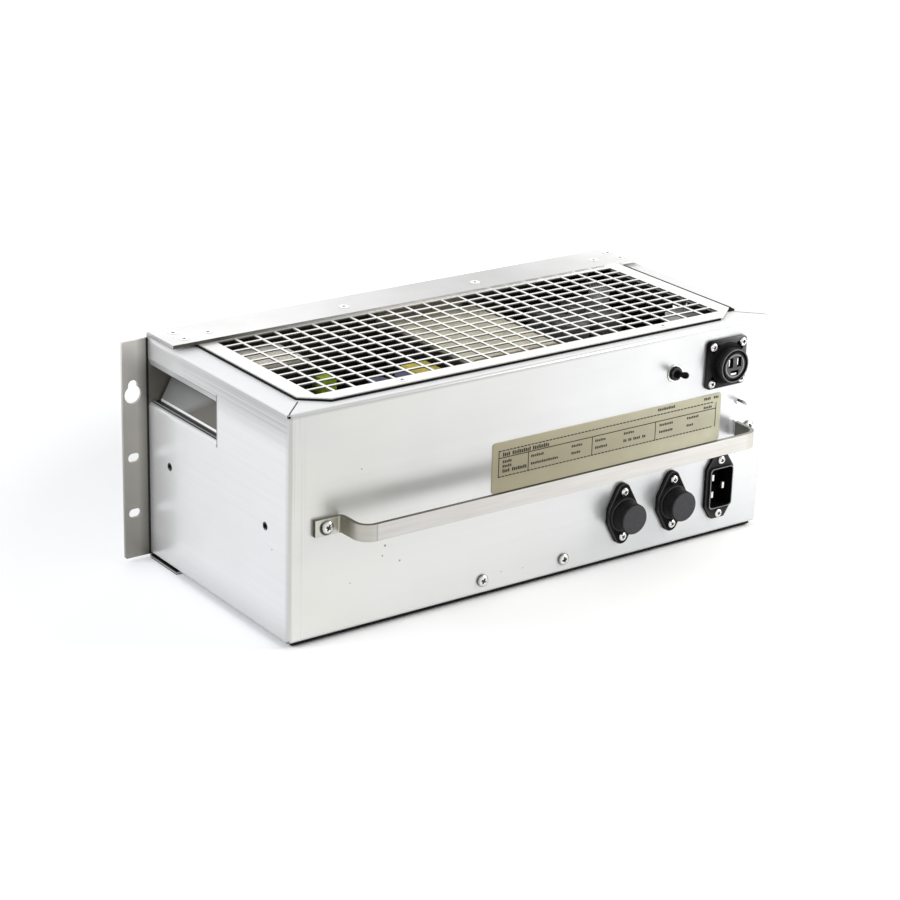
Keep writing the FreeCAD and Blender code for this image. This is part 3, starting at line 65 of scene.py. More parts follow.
END_HOLES = [(across, back, 80.6) for across in (0.0, BOX_WIDE) for back in (30.0, 164.0)]
# Each mark gives its place and its size
PANEL_MARKS = [(81.4, 0, 58.3, 1.2), (79.3, 0, 50.9, 0.9), (94.4, 0, 43.9, 1.0), (379.6, 0, 69.0, 1.1),
               (60.5, 0, 121.0, 0.7), (52.0, 0, 36.0, 0.6), (186.0, 0, 14.0, 0.6), (206.0, 0, 12.5, 0.5),
               (0, 21.0, 66.0, 0.8)]


def metres(points):
    """Box millimetres to the shared frame's metres: the point less the origin, over a thousand."""
    return (np.asarray(points, float) - BOX_ORIGIN) / 1000.0


# Meshes

AROUND = 64
MIDDLE = [[0.0, 0.0]]


def ring_faces(rows, around, front_pole, back_pole, looped):
    """Faces between successive rings, and fans to the poles or a last strip back to the first ring."""
    row = np.arange(rows if looped else rows - 1)[:, None] * around
    below = (row + around) % (rows * around)
    here = np.arange(around)[None, :]
    there = (here + 1) % around
    quads = np.stack([row + here, below + here, below + there, row + there], -1).reshape(-1, 4)
    faces = quads.tolist()
    if not looped:
        here, there = here[0], there[0]
        last = (rows - 1) * around
        faces += np.stack([np.full(around, front_pole), here, there], -1).tolist()
        faces += np.stack([np.full(around, back_pole), last + there, last + here], -1).tolist()
    return faces


# The rows of a stance say where a shape's own across, up and out point
STANCES = {
    "front": np.array([[1, 0, 0], [0, 0, 1], [0, -1, 0]], float),
    "top": np.array([[1, 0, 0], [0, 1, 0], [0, 0, 1]], float),
    "under": np.array([[1, 0, 0], [0, -1, 0], [0, 0, -1]], float),
    "side": np.array([[0, 1, 0], [0, 0, 1], [1, 0, 0]], float),
}


def moulded(rows, centre, stance="front", looped=False, around=AROUND, turn=None):
    """Rings round a middle: each ring is its corner that reaches furthest along a direction, plus a radius
    along that direction, at a height above the seat. One corner at the middle gives a turned shape."""
    angle = np.arange(around) * (2 * math.pi / around)
    out = np.stack([np.cos(angle), np.sin(angle)], -1)
    rings = []
    for outline, radius, height in rows:
        outline = np.asarray(outline, float).reshape(-1, 2)
        furthest = outline[np.argmax(out @ outline.T - 1e-9 * np.arange(len(outline)), axis=1)]
        flat = furthest + out * np.broadcast_to(radius, around)[:, None]
        rings.append(np.column_stack([flat, np.broadcast_to(height, around)]))
    points = np.concatenate(rings)
    count = len(points)
    if not looped:
        middle = np.zeros((2, 3))
        middle[:, 2] = [np.mean(rings[0][:, 2]), np.mean(rings[-1][:, 2])]
        points = np.concatenate([points, middle])
    if turn is not None:
        points = points @ np.asarray(turn, float).T
    points = points @ STANCES[stance] + np.asarray(centre, float)
    return points, ring_faces(len(rings), around, count, count + 1, looped)


def turned(profile, centre, stance="front", looped=False, around=AROUND, turn=None):
    """A profile of radius and height turned round its axis."""
    rows = [(MIDDLE, radius, height) for radius, height in profile]
    return moulded(rows, centre, stance, looped, around, turn)


def corners(wide, high):
    """The four corners of a rectangle from its half width and its half height."""
    return [[wide, high], [-wide, high], [-wide, -high], [wide, -high]]


def slabs(boxes):
    """Right-angled blocks from two corners: the eight corners are each choice of the low or the high one."""
    boxes = np.asarray(boxes, float).reshape(-1, 2, 3)
    pick = np.array([[i, j, k] for k in (0, 1) for j in (0, 1) for i in (0, 1)])
    points = boxes[:, pick, np.arange(3)].reshape(-1, 3)
    sides = np.array([[0, 2, 3, 1], [4, 5, 7, 6], [0, 1, 5, 4], [2, 6, 7, 3], [0, 4, 6, 2], [1, 3, 7, 5]])
    faces = (np.arange(len(boxes))[:, None, None] * 8 + sides[None]).reshape(-1, 4)
    return points, faces.tolist()


def joined(shapes):
    """One list of points and faces from several, each face's numbers moved on by the points before it."""
    points, faces, start = [], [], 0
    for some, sides in shapes:
        points.append(some)
        faces += [[start + corner for corner in side] for side in sides]
        start += len(some)
    return np.concatenate(points), faces


def piece(name, shape, finish, body="chassis", replaces=(), crease=35.0, shade=None):
    """A finished piece of the module: its mesh, its finish, the body it rides on and the nodes it stands for.
    The shade is a number at each point that some finishes read: painted light and shade, how dark or how
    pale the surface is painted there."""
    points, faces = shape
    mesh = bpy.data.meshes.new(name)
    mesh.from_pydata(metres(points).tolist(), [], faces)
    mesh.polygons.foreach_set("use_smooth", np.ones(len(mesh.polygons), bool))
    mesh.set_sharp_from_angle(angle=math.radians(crease))
    mesh.materials.append(finish)
    if shade is not None:
        mesh.attributes.new("shade", "FLOAT", "POINT").data.foreach_set("value", np.asarray(shade, float))
    item = bpy.data.objects.new(name, mesh)
    bpy.context.scene.collection.objects.link(item)
    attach(item, body)
    if replaces:
        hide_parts(*replaces)
    return item


# Finishes

EVENLY = (1, 1, 1)
GLOSS = 0.3
RELIEF = 0.0002


def rgb(red, green, blue):
    """A colour from its three parts."""
    return (red, green, blue, 1.0)


def grey(level):
    """A colour whose three parts are the same."""
    return rgb(level, level, level)


def dimmed(colour, share):
    """A colour with each part brought down by a share."""
    return rgb(*(part * share for part in colour[:3]))


def fill(tree, socket, value):
    """Links an output to a socket, or sets the socket's own value."""
    value = value.output if isinstance(value, Amount) else value
    if isinstance(value, bpy.types.NodeSocket):
        tree.links.new(value, socket)
    else:
        socket.default_value = value


def wire(tree, kind, inputs=None, **settings):
    """Adds a node, sets its properties, and fills its sockets with values or with other nodes' outputs."""
    node = tree.nodes.new(kind)
    for key, value in settings.items():
        setattr(node, key, value)
    for key, value in (inputs or {}).items():
        fill(tree, node.inputs[key], value)
    return node


class Amount:
    """A number that varies over a surface, as one output in a node tree. Sums and products make more."""

    def __init__(self, tree, output):
        self.tree, self.output = tree, output

    def maths(self, operation, first, second):
        """The result of one operation on two numbers."""
        node = wire(self.tree, "ShaderNodeMath", {0: first, 1: second}, operation=operation)
        return Amount(self.tree, node.outputs[0])

    def __add__(self, other):
        return self.maths("ADD", self, other)

    def __sub__(self, other):
        return self.maths("SUBTRACT", self, other)

    def __rsub__(self, other):
        return self.maths("SUBTRACT", other, self)

    def __mul__(self, other):
        return self.maths("MULTIPLY", self, other)

    def either(self, other):
        """The larger of two amounts."""
        return self.maths("MAXIMUM", self, other)

    def off(self, middle):
        """How far the amount is from a middle, either way."""
        node = wire(self.tree, "ShaderNodeMath", {0: self - middle}, operation="ABSOLUTE")
        return Amount(self.tree, node.outputs[0])

    def span(self, start, end, at_start, at_end):
        """A straight line from one value at the start to another at the end, held level outside them."""
        node = wire(self.tree, "ShaderNodeMapRange", {"Value": self, "From Min": start, "From Max": end,
                                                      "To Min": at_start, "To Max": at_end})
        return Amount(self.tree, node.outputs["Result"])

    def rise(self, start, end):
        """Nothing at the start, all at the end, and a straight line between, whichever is the larger."""
        return self.span(start, end, 0.0, 1.0)

    def spread(self, at_low, at_high):
        """Noise, which lies mostly between 0.3 and 0.7, brought to another range."""
        return self.span(0.3, 0.7, at_low, at_high)


class Finish:
    """A material in the making: its node tree, its shader, and the piece's own coordinates."""

    def __init__(self, name):
        self.material = bpy.data.materials.new(name)
        self.material.use_nodes = True
        self.tree = self.material.node_tree
        self.shader = self.tree.nodes["Principled BSDF"]
        self.place = wire(self.tree, "ShaderNodeTexCoord").outputs["Object"]

    def axes(self):
        """The three coordinates in the box's millimetres."""
        moved = wire(self.tree, "ShaderNodeMapping", {"Vector": self.place, "Scale": (1000, 1000, 1000),
                                                      "Location": BOX_ORIGIN.tolist()})
        split = wire(self.tree, "ShaderNodeSeparateXYZ", {"Vector": moved.outputs["Vector"]})
        return [Amount(self.tree, output) for output in split.outputs]

    def noise(self, stretch, size, detail=3.0, rough=0.55):
        """Clouds of noise, stretched by a different scale along each axis."""
        moved = wire(self.tree, "ShaderNodeMapping", {"Vector": self.place, "Scale": stretch})
        made = wire(self.tree, "ShaderNodeTexNoise", {"Vector": moved.outputs["Vector"], "Scale": size,
                                                      "Detail": detail, "Roughness": rough})
        return Amount(self.tree, made.outputs["Fac"])

    def away(self, point):
        """How many metres the surface is from a point."""
        node = wire(self.tree, "ShaderNodeVectorMath", {0: self.place, 1: metres(point).tolist()},
                    operation="DISTANCE")
        return Amount(self.tree, node.outputs["Value"])

    def shade(self):
        """The piece's own shade at each point."""
        node = wire(self.tree, "ShaderNodeAttribute", attribute_name="shade")
        return Amount(self.tree, node.outputs["Fac"])

    def bumped(self, height, strength, distance=RELIEF):
        """A fine relief from a height."""
        node = wire(self.tree, "ShaderNodeBump",
                    {"Height": height, "Strength": strength, "Distance": distance})
        self.tree.links.new(node.outputs["Normal"], self.shader.inputs["Normal"])

    def done(self, colour, rough, metallic=0.0, gloss=GLOSS):
        """The material, with the shader's own sockets filled."""
        sockets = {"Base Color": colour, "Roughness": rough, "Metallic": metallic,
                   "Specular IOR Level": gloss}
        for key, value in sockets.items():
            fill(self.tree, self.shader.inputs[key], value)
        return self.material


def mixed(share, first, second):
    """The first colour going over to the second by a share."""
    return wire(share.tree, "ShaderNodeMix", {0: share, 6: first, 7: second}, data_type="RGBA").outputs[2]


def coated(tone, coats):
    """A tone with coats laid over it in turn, each by its own share."""
    for share, colour in coats:
        tone = mixed(share, tone, colour)
    return tone


def plain_finish(name, dark, light, rough, metallic=0.0, cloud=60.0, gloss=GLOSS):
    """Two near shades in soft clouds, a fine grain in the height, and a roughness that follows the clouds."""
    work = Finish(name)
    clouds = work.noise(EVENLY, cloud, 5.0)
    work.bumped(work.noise(EVENLY, 2500.0, 2.0), 0.05)
    return work.done(mixed(clouds.spread(0.0, 1.0), dark, light), clouds.spread(*rough), metallic, gloss)


def rolled_sheet(work, bare, shade):
    """Streaks along the rolling direction and soft mottling between two near tones."""
    streaks = work.noise((5, 5, 300), 1.0, 3.0, 0.5)
    mottle = work.noise(EVENLY, 26.0, 3.0, 0.5)
    tone = coated(bare, [(streaks.spread(0.0, 0.5), shade), (mottle.spread(0.0, 0.35), shade)])
    return tone, mottle


def sheet_finish(name, bare, shade, metallic, rough):
    """Bare rolled sheet: streaks and mottling in the colour, a roughness that wanders with the mottling, and
    painted shade on the walls of the punched openings."""
    work = Finish(name)
    x, y, z = work.axes()
    tone, mottle = rolled_sheet(work, bare, shade)
    across = x.off(BOX_HALF).rise(PUNCHED_HALF + 0.5, PUNCHED_HALF - 0.5)
    along = y.rise(PUNCHED_FRONT - 0.5, PUNCHED_FRONT + 0.5)
    on_wall = across * along * z.rise(GRILLE_TOP - 0.1, GRILLE_TOP - 0.3)
    # painted shade on the walls of the openings
    tone = mixed(on_wall * 0.8, tone, rgb(0.10, 0.10, 0.095))
    return work.done(tone, mottle.spread(*rough), metallic)


def box_finish(name, bare, shade, rough):
    """The box's sheet, rolled, under painted light and shade: the front painted paler low down, less so to
    the right, with painted shade higher up, and bluer to the right; the top painted paler as lit; the ends
    painted paler to the back and darker to the bottom; painted shade on the folds; dark mitres; dark streaks
    along the top of the ends; upright streaks beside the left fold; a faint yellow stain at the left; painted
    shade in dark lines round the windows and along the lower edges; a few small marks; painted shade in dark
    discs round the end holes; and painted shade inside. Each coat's share is a product of straight rises over
    the box's coordinates and of noise."""
    work = Finish(name)
    x, y, z = work.axes()
    tone, mottle = rolled_sheet(work, bare, shade)
    end = x.off(BOX_HALF)
    inward = BOX_HALF - end
    on_end = end.rise(BOX_HALF - 0.9, BOX_HALF - 0.4)
    on_front = y.rise(0.9, 0.4)
    on_top = z.rise(BOX_HIGH - 0.7, BOX_HIGH - 0.3)

    stains = work.noise(EVENLY, 11.0, 3.0, 0.5)
    stained = on_front * x.rise(190.0, 20.0) * stains.span(0.35, 0.65, 0.3, 1.0)
    streaks = work.noise((3, 3, 620), 1.0, 3.0, 0.6)
    end_top_streaks = on_end * z.rise(143.0, 163.0) * streaks.spread(0.45, 1.1) * y.span(70.0, 160.0, 1.0, 0.62)
    upright_noise = work.noise((700, 700, 5), 1.0, 2.0, 0.5)
    upright_streaks = on_front * x.rise(17.0, 7.0) * upright_noise.rise(0.56, 0.68)

    top_fold = z.rise(BOX_HIGH - 4.5, BOX_HIGH - 2.0) * y.rise(2.0, 0.7) * x.span(280.0, 400.0, 1.0, 0.2)
    side_fold = end.rise(BOX_HALF - 4.2, BOX_HALF - 1.6) * y.rise(4.2, 1.4) * x.span(150.0, 300.0, 1.0, 0.25)
    mitre = on_top * (inward - y).off(0.0).rise(1.0, 0.5) * y.rise(20.5, 19.5)
    lower_edge = inward.rise(3.6, 3.0) * z.rise(1.4, 0.8)

    behind = y.rise(WINDOW_FRONT + 0.2, WINDOW_FRONT + 0.8)
    on_sill = behind * z.off(WINDOW_SILL).rise(0.5, 0.3)
    sill_lines = inward.off(2.9).rise(0.6, 0.3).either(inward.rise(4.9, 5.3))
    front_cut = on_end * y.off(WINDOW_FRONT).rise(0.65, 0.35) * z.off(138.0).rise(20.5, 19.5)
    lintel = behind * z.off(WINDOW_TOP).rise(0.9, 0.5) * inward.rise(1.6, 2.2)

    under_top = y.rise(1.0, 1.4) * inward.rise(12.0, 14.0) * z.rise(BOX_HIGH - 0.8, BOX_HIGH - 1.2)
    at_window = y.rise(92.0, 94.0) * z.off(136.0).rise(20.0, 18.0)
    inner_face = inward.rise(1.2, 1.4) * y.rise(3.0, 3.4) * z.rise(BOX_HIGH - 3.5, BOX_HIGH - 4.0)
    inner_face = inner_face * z.rise(3.0, 3.4) * at_window.span(0.0, 1.0, 1.0, 0.0)

    tone = coated(tone, [
        # painted light: the front paler low down, less so to the right
        (on_front * z.rise(90.0, 50.0) * x.rise(340.0, 130.0) * 0.55, rgb(0.90, 0.905, 0.885)),
        # painted shade: the front darker higher up
        (on_front * z.rise(95.0, 130.0) * 0.5, rgb(0.62, 0.625, 0.615)),
        (on_front * x.rise(190.0, 330.0) * 0.35, rgb(0.735, 0.76, 0.80)),
        (stained * 0.6, rgb(0.785, 0.785, 0.705)),
        (end_top_streaks * 0.9, grey(0.40)),
        # painted light: the ends paler to the back; painted shade: the ends darker to the bottom
        (on_end * y.rise(140.0, 185.0) * 0.6, grey(0.92)),
        (on_end * z.rise(22.0, 4.0) * 0.5, grey(0.50)),
        # painted shade on the front folds, stronger to the left
        (top_fold * 0.8, rgb(0.46, 0.46, 0.455)),
        (side_fold * 0.6, rgb(0.50, 0.485, 0.455)),
        (upright_streaks * 0.38, rgb(0.42, 0.41, 0.38)),
        # painted light: the top paler
        (on_top * 0.7, rgb(0.86, 0.86, 0.865)),
        (mitre * 0.97, grey(0.01)),
        # painted shade along the lower edges of the ends and in the lines round the windows
        (lower_edge * 0.9, grey(0.05)),
        (on_sill * sill_lines * 0.96, grey(0.012)),
        (front_cut * 0.75, grey(0.04)),
        (lintel * 0.95, grey(0.02)),
    ])
    tone = coated(tone, [
        (work.away(mark).span(0.0004 * size, 0.001 * size, 0.8, 0.0), rgb(0.07, 0.07, 0.065))
        for *mark, size in PANEL_MARKS])
    # painted shade: dark discs round the end holes
    tone = coated(tone, [(work.away(hole).span(0.0029, 0.0034, 0.97, 0.0), grey(0.03)) for hole in END_HOLES])
    # painted shade inside the box
    tone = coated(tone, [(under_top * 0.97, grey(0.03)), (inner_face * 0.97, grey(0.03))])
    duller_top = on_top.span(0.0, 1.0, 0.0, 0.2)
    return work.done(tone, mottle.spread(*rough) + duller_top, on_top.span(0.0, 1.0, 0.7, 0.25))


def frame_finish(name, flange, ear):
    """The frame's plate: bright on the flanges with painted shade over the middle and along the strip's front
    edge;
    the left ear in a warm grey of painted shade, painted paler to the top and darker near the box, and dark
    along the seam with the box; bright on the right ear and behind; and painted shade inside and below, with
    pale insulating paper inside behind the coil."""
    work = Finish(name)
    x, y, z = work.axes()
    end = x.off(BOX_HALF)
    tone, mottle = rolled_sheet(work, flange, rgb(0.72, 0.72, 0.71))

    # painted shade on the back wall inside, lighter at its top
    back_wall = mixed(x.rise(30.0, 40.0), rgb(0.17, 0.16, 0.135), rgb(0.09, 0.085, 0.06))
    paper = x.rise(201.0, 205.0) * x.rise(286.0, 282.0) * z.rise(144.0, 147.0)
    back_wall = coated(back_wall, [
        (x.rise(280.0, 330.0), rgb(0.02, 0.02, 0.018)),
        (z.rise(156.5, 159.0), rgb(0.22, 0.22, 0.215)),
        (paper, rgb(0.86, 0.81, 0.64)),
    ])

    # painted shade: the left ear's warm grey, darker low down and near the box, paler to the top
    low_ear = rgb(ear[0] * 0.72, ear[1] * 0.72, ear[2] * 0.70)
    near_box = end.rise(BOX_HALF + 10.0, BOX_HALF + 1.0)
    seam = end.rise(BOX_HALF + 2.4, BOX_HALF + 1.6) * z.rise(176.0, 174.0)
    left_ear = coated(mixed(z.rise(30.0, 120.0), low_ear, ear), [
        (z.rise(110.0, 178.0), rgb(0.82, 0.79, 0.74)),
        (mottle.span(0.35, 0.7, 0.0, 0.3), rgb(0.33, 0.32, 0.295)),
        (near_box * 0.72, rgb(0.05, 0.047, 0.04)),
        (seam, rgb(0.008, 0.008, 0.007)),
    ])
    ears = mixed(x.rise(200.0, 240.0), left_ear, rgb(0.80, 0.79, 0.77))

    # painted shade along the strip's front edge, fading to the right
    edge = y.rise(FLANGE_FRONT + 0.3, FLANGE_FRONT + 0.1) * x.span(40.0, 220.0, 1.0, 0.0)
    inside = z.rise(BOX_HIGH, BOX_HIGH - 1.0) * y.rise(FRAME_FACE + 0.6, FRAME_FACE + 0.3)
    on_ear = end.rise(BOX_HALF - 0.3, BOX_HALF + 0.3)
    # painted shade below: the lower flange greyer, with dark edges
    below = z.rise(-0.2, -0.6) * end.rise(BOX_HALF + 0.3, BOX_HALF - 0.3)
    tone = coated(tone, [
        # painted shade over the middle of the flanges
        (x.rise(90.0, 240.0) * x.rise(430.0, 330.0) * 0.8, rgb(0.46, 0.46, 0.455)),
        (edge, rgb(0.08, 0.075, 0.06)),
        (inside, back_wall),
        (on_ear * y.rise(FRAME_BACK - 0.2, FRAME_BACK - 0.5), ears),
        (below, mixed(z.off(-2.3).rise(0.7, 0.4), grey(0.015), grey(0.62))),
    ])
    return work.done(tone, mottle.spread(0.34, 0.46), 0.45)


def strap_finish(name, bright, dull_and_shade):
    """The strap under painted light and shade: bright along the bar's face, painted shade on its back and
    down the legs to the feet, painted shade along the edges above and below and at the feet's ends, and a
    painted shadow beside the left screw. The right leg is painted darker and its foot brighter than the left
    one's."""
    work = Finish(name)
    x, y, z = work.axes()
    wide = x.off(HANDLE_MIDDLE)
    at_right = x.rise(HANDLE_MIDDLE - 20.0, HANDLE_MIDDLE + 20.0)
    off_foot = y.rise(FOOT_FACE - 0.05, FOOT_FACE - 0.3)
    foot = y.rise(FOOT_FACE - 0.3, FOOT_FACE - 0.05) * wide.rise(HANDLE_LEG - 1.0, HANDLE_LEG + 3.0)
    behind = y.rise(-29.4, -28.4) * wide.rise(HANDLE_LEG + 3.0, HANDLE_LEG - 1.0)
    on_leg = wide.rise(HANDLE_LEG - 3.0, HANDLE_LEG + 5.0) * off_foot
    shoulder = wide.rise(HANDLE_LEG - 2.0, HANDLE_LEG + 1.0) * off_foot
    left_bend = x.off(HANDLE_MIDDLE - HANDLE_LEG).rise(0.6, 0.3) * y.rise(-28.0, -29.0)

    left_screw = HANDLE_MIDDLE - HANDLE_SCREW
    low_left = (x + z).rise(left_screw + HANDLE_Z + 3.0, left_screw + HANDLE_Z - 3.0)
    round_screw = work.away((left_screw, FOOT_FACE, HANDLE_Z)).span(0.0058, 0.0066, 0.9, 0.0)
    # painted shade along the edges above and below and at the feet's ends
    shaded_edges = wide.rise(204.55, 204.66).either(z.off(HANDLE_Z).rise(6.22, 6.28))
    shaded_edges = shaded_edges * (at_right * foot).span(0.0, 1.0, 0.94, 0.3)

    clouds = work.noise((3, 3, 60), 6.0, 3.0, 0.5)
    tone = coated(mixed(clouds.spread(0.0, 1.0), bright, dull_and_shade), [
        # painted shade on the bar's back, the bends and the legs; the feet painted, the right one paler as
        # lit
        (behind * 0.85, rgb(0.15, 0.145, 0.13)),
        (shoulder * 0.22, rgb(0.42, 0.40, 0.30)),
        (left_bend * 0.5, rgb(0.25, 0.24, 0.18)),
        (on_leg * y.rise(-31.5, -13.0), rgb(0.23, 0.215, 0.165)),
        (on_leg * at_right * y.rise(-28.0, -22.0), rgb(0.12, 0.118, 0.105)),
        (foot, mixed(at_right, rgb(0.66, 0.65, 0.58), grey(0.88))),
        (foot * low_left * round_screw, rgb(0.02, 0.02, 0.018)),
        (shaded_edges, rgb(0.045, 0.038, 0.028)),
    ])
    return work.done(tone, clouds.spread(0.285, 0.37), 0.75)


def recess_finish(name):
    """The sloped recess sheets in painted shade: grey, browner to the front and darker to the top, with a
    painted highlight in a bright line above the sill and painted shade on the inner side."""
    work = Finish(name)
    x, y, z = work.axes()
    # painted shade: the sheet's grey stands for the shade in the recess
    tone, mottle = rolled_sheet(work, grey(0.275), rgb(0.24, 0.24, 0.235))
    inward = BOX_HALF - x.off(BOX_HALF)
    past_slope = inward - z.span(122.8, 153.0, 9.0, 26.0)
    tone = coated(tone, [
        (y.rise(105.0, 185.0), rgb(0.27, 0.27, 0.265)),
        (z.rise(130.0, 152.0) * 0.5, grey(0.16)),
        ((y + z * 1.7).rise(374.0, 363.0) * 0.95, rgb(0.145, 0.138, 0.12)),
        (z.rise(124.2, 123.9), rgb(0.93, 0.93, 0.92)),
        (past_slope.rise(0.5, 0.9), grey(0.02)),
    ])
    return work.done(tone, mottle.spread(0.32, 0.42), 0.5)


def plate_finish(name, share):
    """Beige enamel with painted light that makes it paler to the right, in soft clouds."""
    work = Finish(name)
    across = work.axes()[0]
    clouds = work.noise(EVENLY, 50.0, 4.0)
    left, middle, right = (dimmed(shade, share) for shade in
                           (rgb(0.45, 0.405, 0.28), rgb(0.52, 0.485, 0.345), rgb(0.64, 0.62, 0.47)))
    # painted light: paler to the right
    tone = coated(left, [(across.rise(180.0, 285.0), middle), (across.rise(285.0, 388.0), right),
                         (clouds.spread(0.0, 0.25), rgb(0.36, 0.33, 0.23))])
    work.bumped(clouds, 0.04)
    return work.done(tone, clouds.spread(0.45, 0.58))


def shaded_finish(name, plain, shaded, rough, metallic=0.0, cloud=200.0, gloss=GLOSS):
    """A plain tone that goes over to another by the piece's own shade, which is painted light and shade, with
    fine clouds in both.
    """
    work = Finish(name)
    clouds = work.noise(EVENLY, cloud, 3.0)
    tone = coated(plain, [(work.shade(), shaded), (clouds.spread(0.0, 0.3), dimmed(plain, 0.6))])
    work.bumped(clouds, 0.05)
    return work.done(tone, clouds.spread(*rough), metallic, gloss)


def insert_finish(name):
    """The connector's insert: a grey face with a painted highlight on its rim, and painted shade in the
    groove round it and in the pockets behind it.
    """
    work = Finish(name)
    back = work.axes()[1]
    clouds = work.noise(EVENLY, 240.0, 3.0)
    away = work.away((CONNECTOR[0], INSERT_FACE, CONNECTOR[1]))
    tone = coated(mixed(clouds.spread(0.0, 1.0), rgb(0.055, 0.055, 0.056), grey(0.10)), [
        # painted highlight on the rim; painted shade in the groove and the pockets
        (away.rise(0.0082, 0.0086), grey(0.34)),
        (away.rise(0.0090, 0.0094), grey(0.004)),
        (back.rise(INSERT_FACE + 0.1, INSERT_FACE + 0.5), grey(0.006)),
    ])
    work.bumped(clouds, 0.05)
    return work.done(tone, clouds.spread(0.45, 0.6))


def blade_finish(name, dark, light, rough):
    """Plated contacts in fine clouds; the inlet's blades carry painted shade from just behind their tips."""
    work = Finish(name)
    back, up = work.axes()[1:]
    clouds = work.noise(EVENLY, 300.0, 5.0)
    in_inlet = up.rise(80.0, 70.0) * back.rise(0.0, 0.6)
    tone = coated(mixed(clouds.spread(0.0, 1.0), dark, light), [(in_inlet, grey(0.012))])
    work.bumped(clouds, 0.05)
    return work.done(tone, clouds.spread(*rough), 0.9)


def wrap_finish(name, dark, light, varnish, wound):
    """A wound coil under varnished cloth: pale in clouds and fine turns over its top, with painted shade down
    its sides.
    """
    work = Finish(name)
    up = work.axes()[2]
    clouds = work.noise(EVENLY, 60.0, 4.0)
    turns = work.noise((1, 14, 1), 45.0, 2.0)
    tone = coated(mixed(clouds.spread(0.0, 1.0), dark, light), [
        (turns.span(0.55, 0.75, 0.0, wound), rgb(0.16, 0.14, 0.10)),
        # painted shade down the sides
        (up.rise(COIL_TOP - 1.5, COIL_TOP - 5.0), rgb(0.02, 0.019, 0.016)),
    ])
    work.bumped(turns, 0.1, 0.0003)
    return work.done(tone, clouds.spread(0.4, 0.55), varnish)


SHEET = box_finish("box_sheet", rgb(0.79, 0.795, 0.79), rgb(0.725, 0.73, 0.725), (0.285, 0.355))
GRILLE = sheet_finish("grille_sheet", rgb(0.80, 0.79, 0.765), rgb(0.72, 0.71, 0.685), 0.6, (0.3, 0.4))
RECESS = recess_finish("recess_sheet")
# The second colour is the left ear's painted shade
FRAME = frame_finish("frame_plate", rgb(0.80, 0.80, 0.79), rgb(0.42, 0.40, 0.36))
STRAP = strap_finish("handle_strap", rgb(0.68, 0.665, 0.64), rgb(0.61, 0.59, 0.56))
PLATE = plate_finish("plate_enamel", 1.0)
PLATE_FIELD = plate_finish("plate_field", 0.93)
PLATE_INK = plain_finish("plate_ink", rgb(0.02, 0.018, 0.014), rgb(0.05, 0.045, 0.035), (0.5, 0.65),
                         cloud=400.0)
SEAL = plain_finish("seal_rubber", grey(0.006), grey(0.014), (0.7, 0.85), gloss=0.08)
# Shaded finishes: the second colour is where the painted light and shade takes each piece, near black for the
# painted shade in the plating, paler for the painted highlights on the dark mouldings
BRIGHT = shaded_finish("bright_plating", rgb(0.92, 0.91, 0.88), rgb(0.012, 0.012, 0.010), (0.16, 0.26), 0.9,
                       cloud=500.0)
SHELL = shaded_finish("connector_shell", rgb(0.0016, 0.0016, 0.002), rgb(0.44, 0.44, 0.45), (0.45, 0.6),
                      cloud=300.0, gloss=0.06)
BLACK = shaded_finish("black_moulding", grey(0.003), grey(0.34), (0.45, 0.6), cloud=300.0, gloss=0.07)
CAP = shaded_finish("cap_moulding", rgb(0.007, 0.007, 0.0075), rgb(0.075, 0.073, 0.078), (0.55, 0.7),
                    cloud=900.0, gloss=0.14)
FACE = insert_finish("insert_face")
BLADE = blade_finish("contact_plating", rgb(0.72, 0.71, 0.68), rgb(0.86, 0.85, 0.82), (0.18, 0.26))
CERAMIC = plain_finish("fuse_ceramic", rgb(0.78, 0.76, 0.70), rgb(0.84, 0.82, 0.77), (0.3, 0.42))
BLUE = plain_finish("blue_sleeve", rgb(0.010, 0.014, 0.075), rgb(0.02, 0.03, 0.13), (0.29, 0.38), cloud=150.0)
WHITE = plain_finish("white_plastic", rgb(0.88, 0.88, 0.87), rgb(0.97, 0.97, 0.96), (0.3, 0.4), cloud=120.0)
LAMINATE = plain_finish("board_laminate", rgb(0.010, 0.014, 0.010), rgb(0.022, 0.028, 0.020), (0.4, 0.6),
                        cloud=80.0)
WRAP = wrap_finish("coil_wrap", rgb(0.50, 0.46, 0.33), rgb(0.86, 0.81, 0.64), 0.25, 0.6)
CHOKE_WRAP = wrap_finish("choke_wrap", rgb(0.90, 0.85, 0.70), rgb(1.0, 0.98, 0.88), 0.0, 0.3)
IRON = plain_finish("core_iron", grey(0.010), rgb(0.030, 0.030, 0.029), (0.4, 0.6), 0.5)
SINK = plain_finish("heat_sink", grey(0.008), grey(0.020), (0.35, 0.5), 0.2)
# painted shade: the tray inside the box is painted near black
INNER = plain_finish("inner_sheet", grey(0.015), rgb(0.035, 0.035, 0.034), (0.4, 0.5), 0.5, 40.0)
YELLOW = plain_finish("yellow_tape", rgb(0.60, 0.46, 0.03), rgb(0.86, 0.72, 0.09), (0.35, 0.5), cloud=120.0)
# painted shade: the can tops painted dark grey
CAN = plain_finish("capacitor_tops", rgb(0.14, 0.14, 0.145), rgb(0.26, 0.26, 0.265), (0.3, 0.45), 0.4, 90.0)
GREEN = plain_finish("green_plastic", rgb(0.32, 0.50, 0.02), rgb(0.56, 0.80, 0.08), (0.35, 0.5), cloud=120.0)

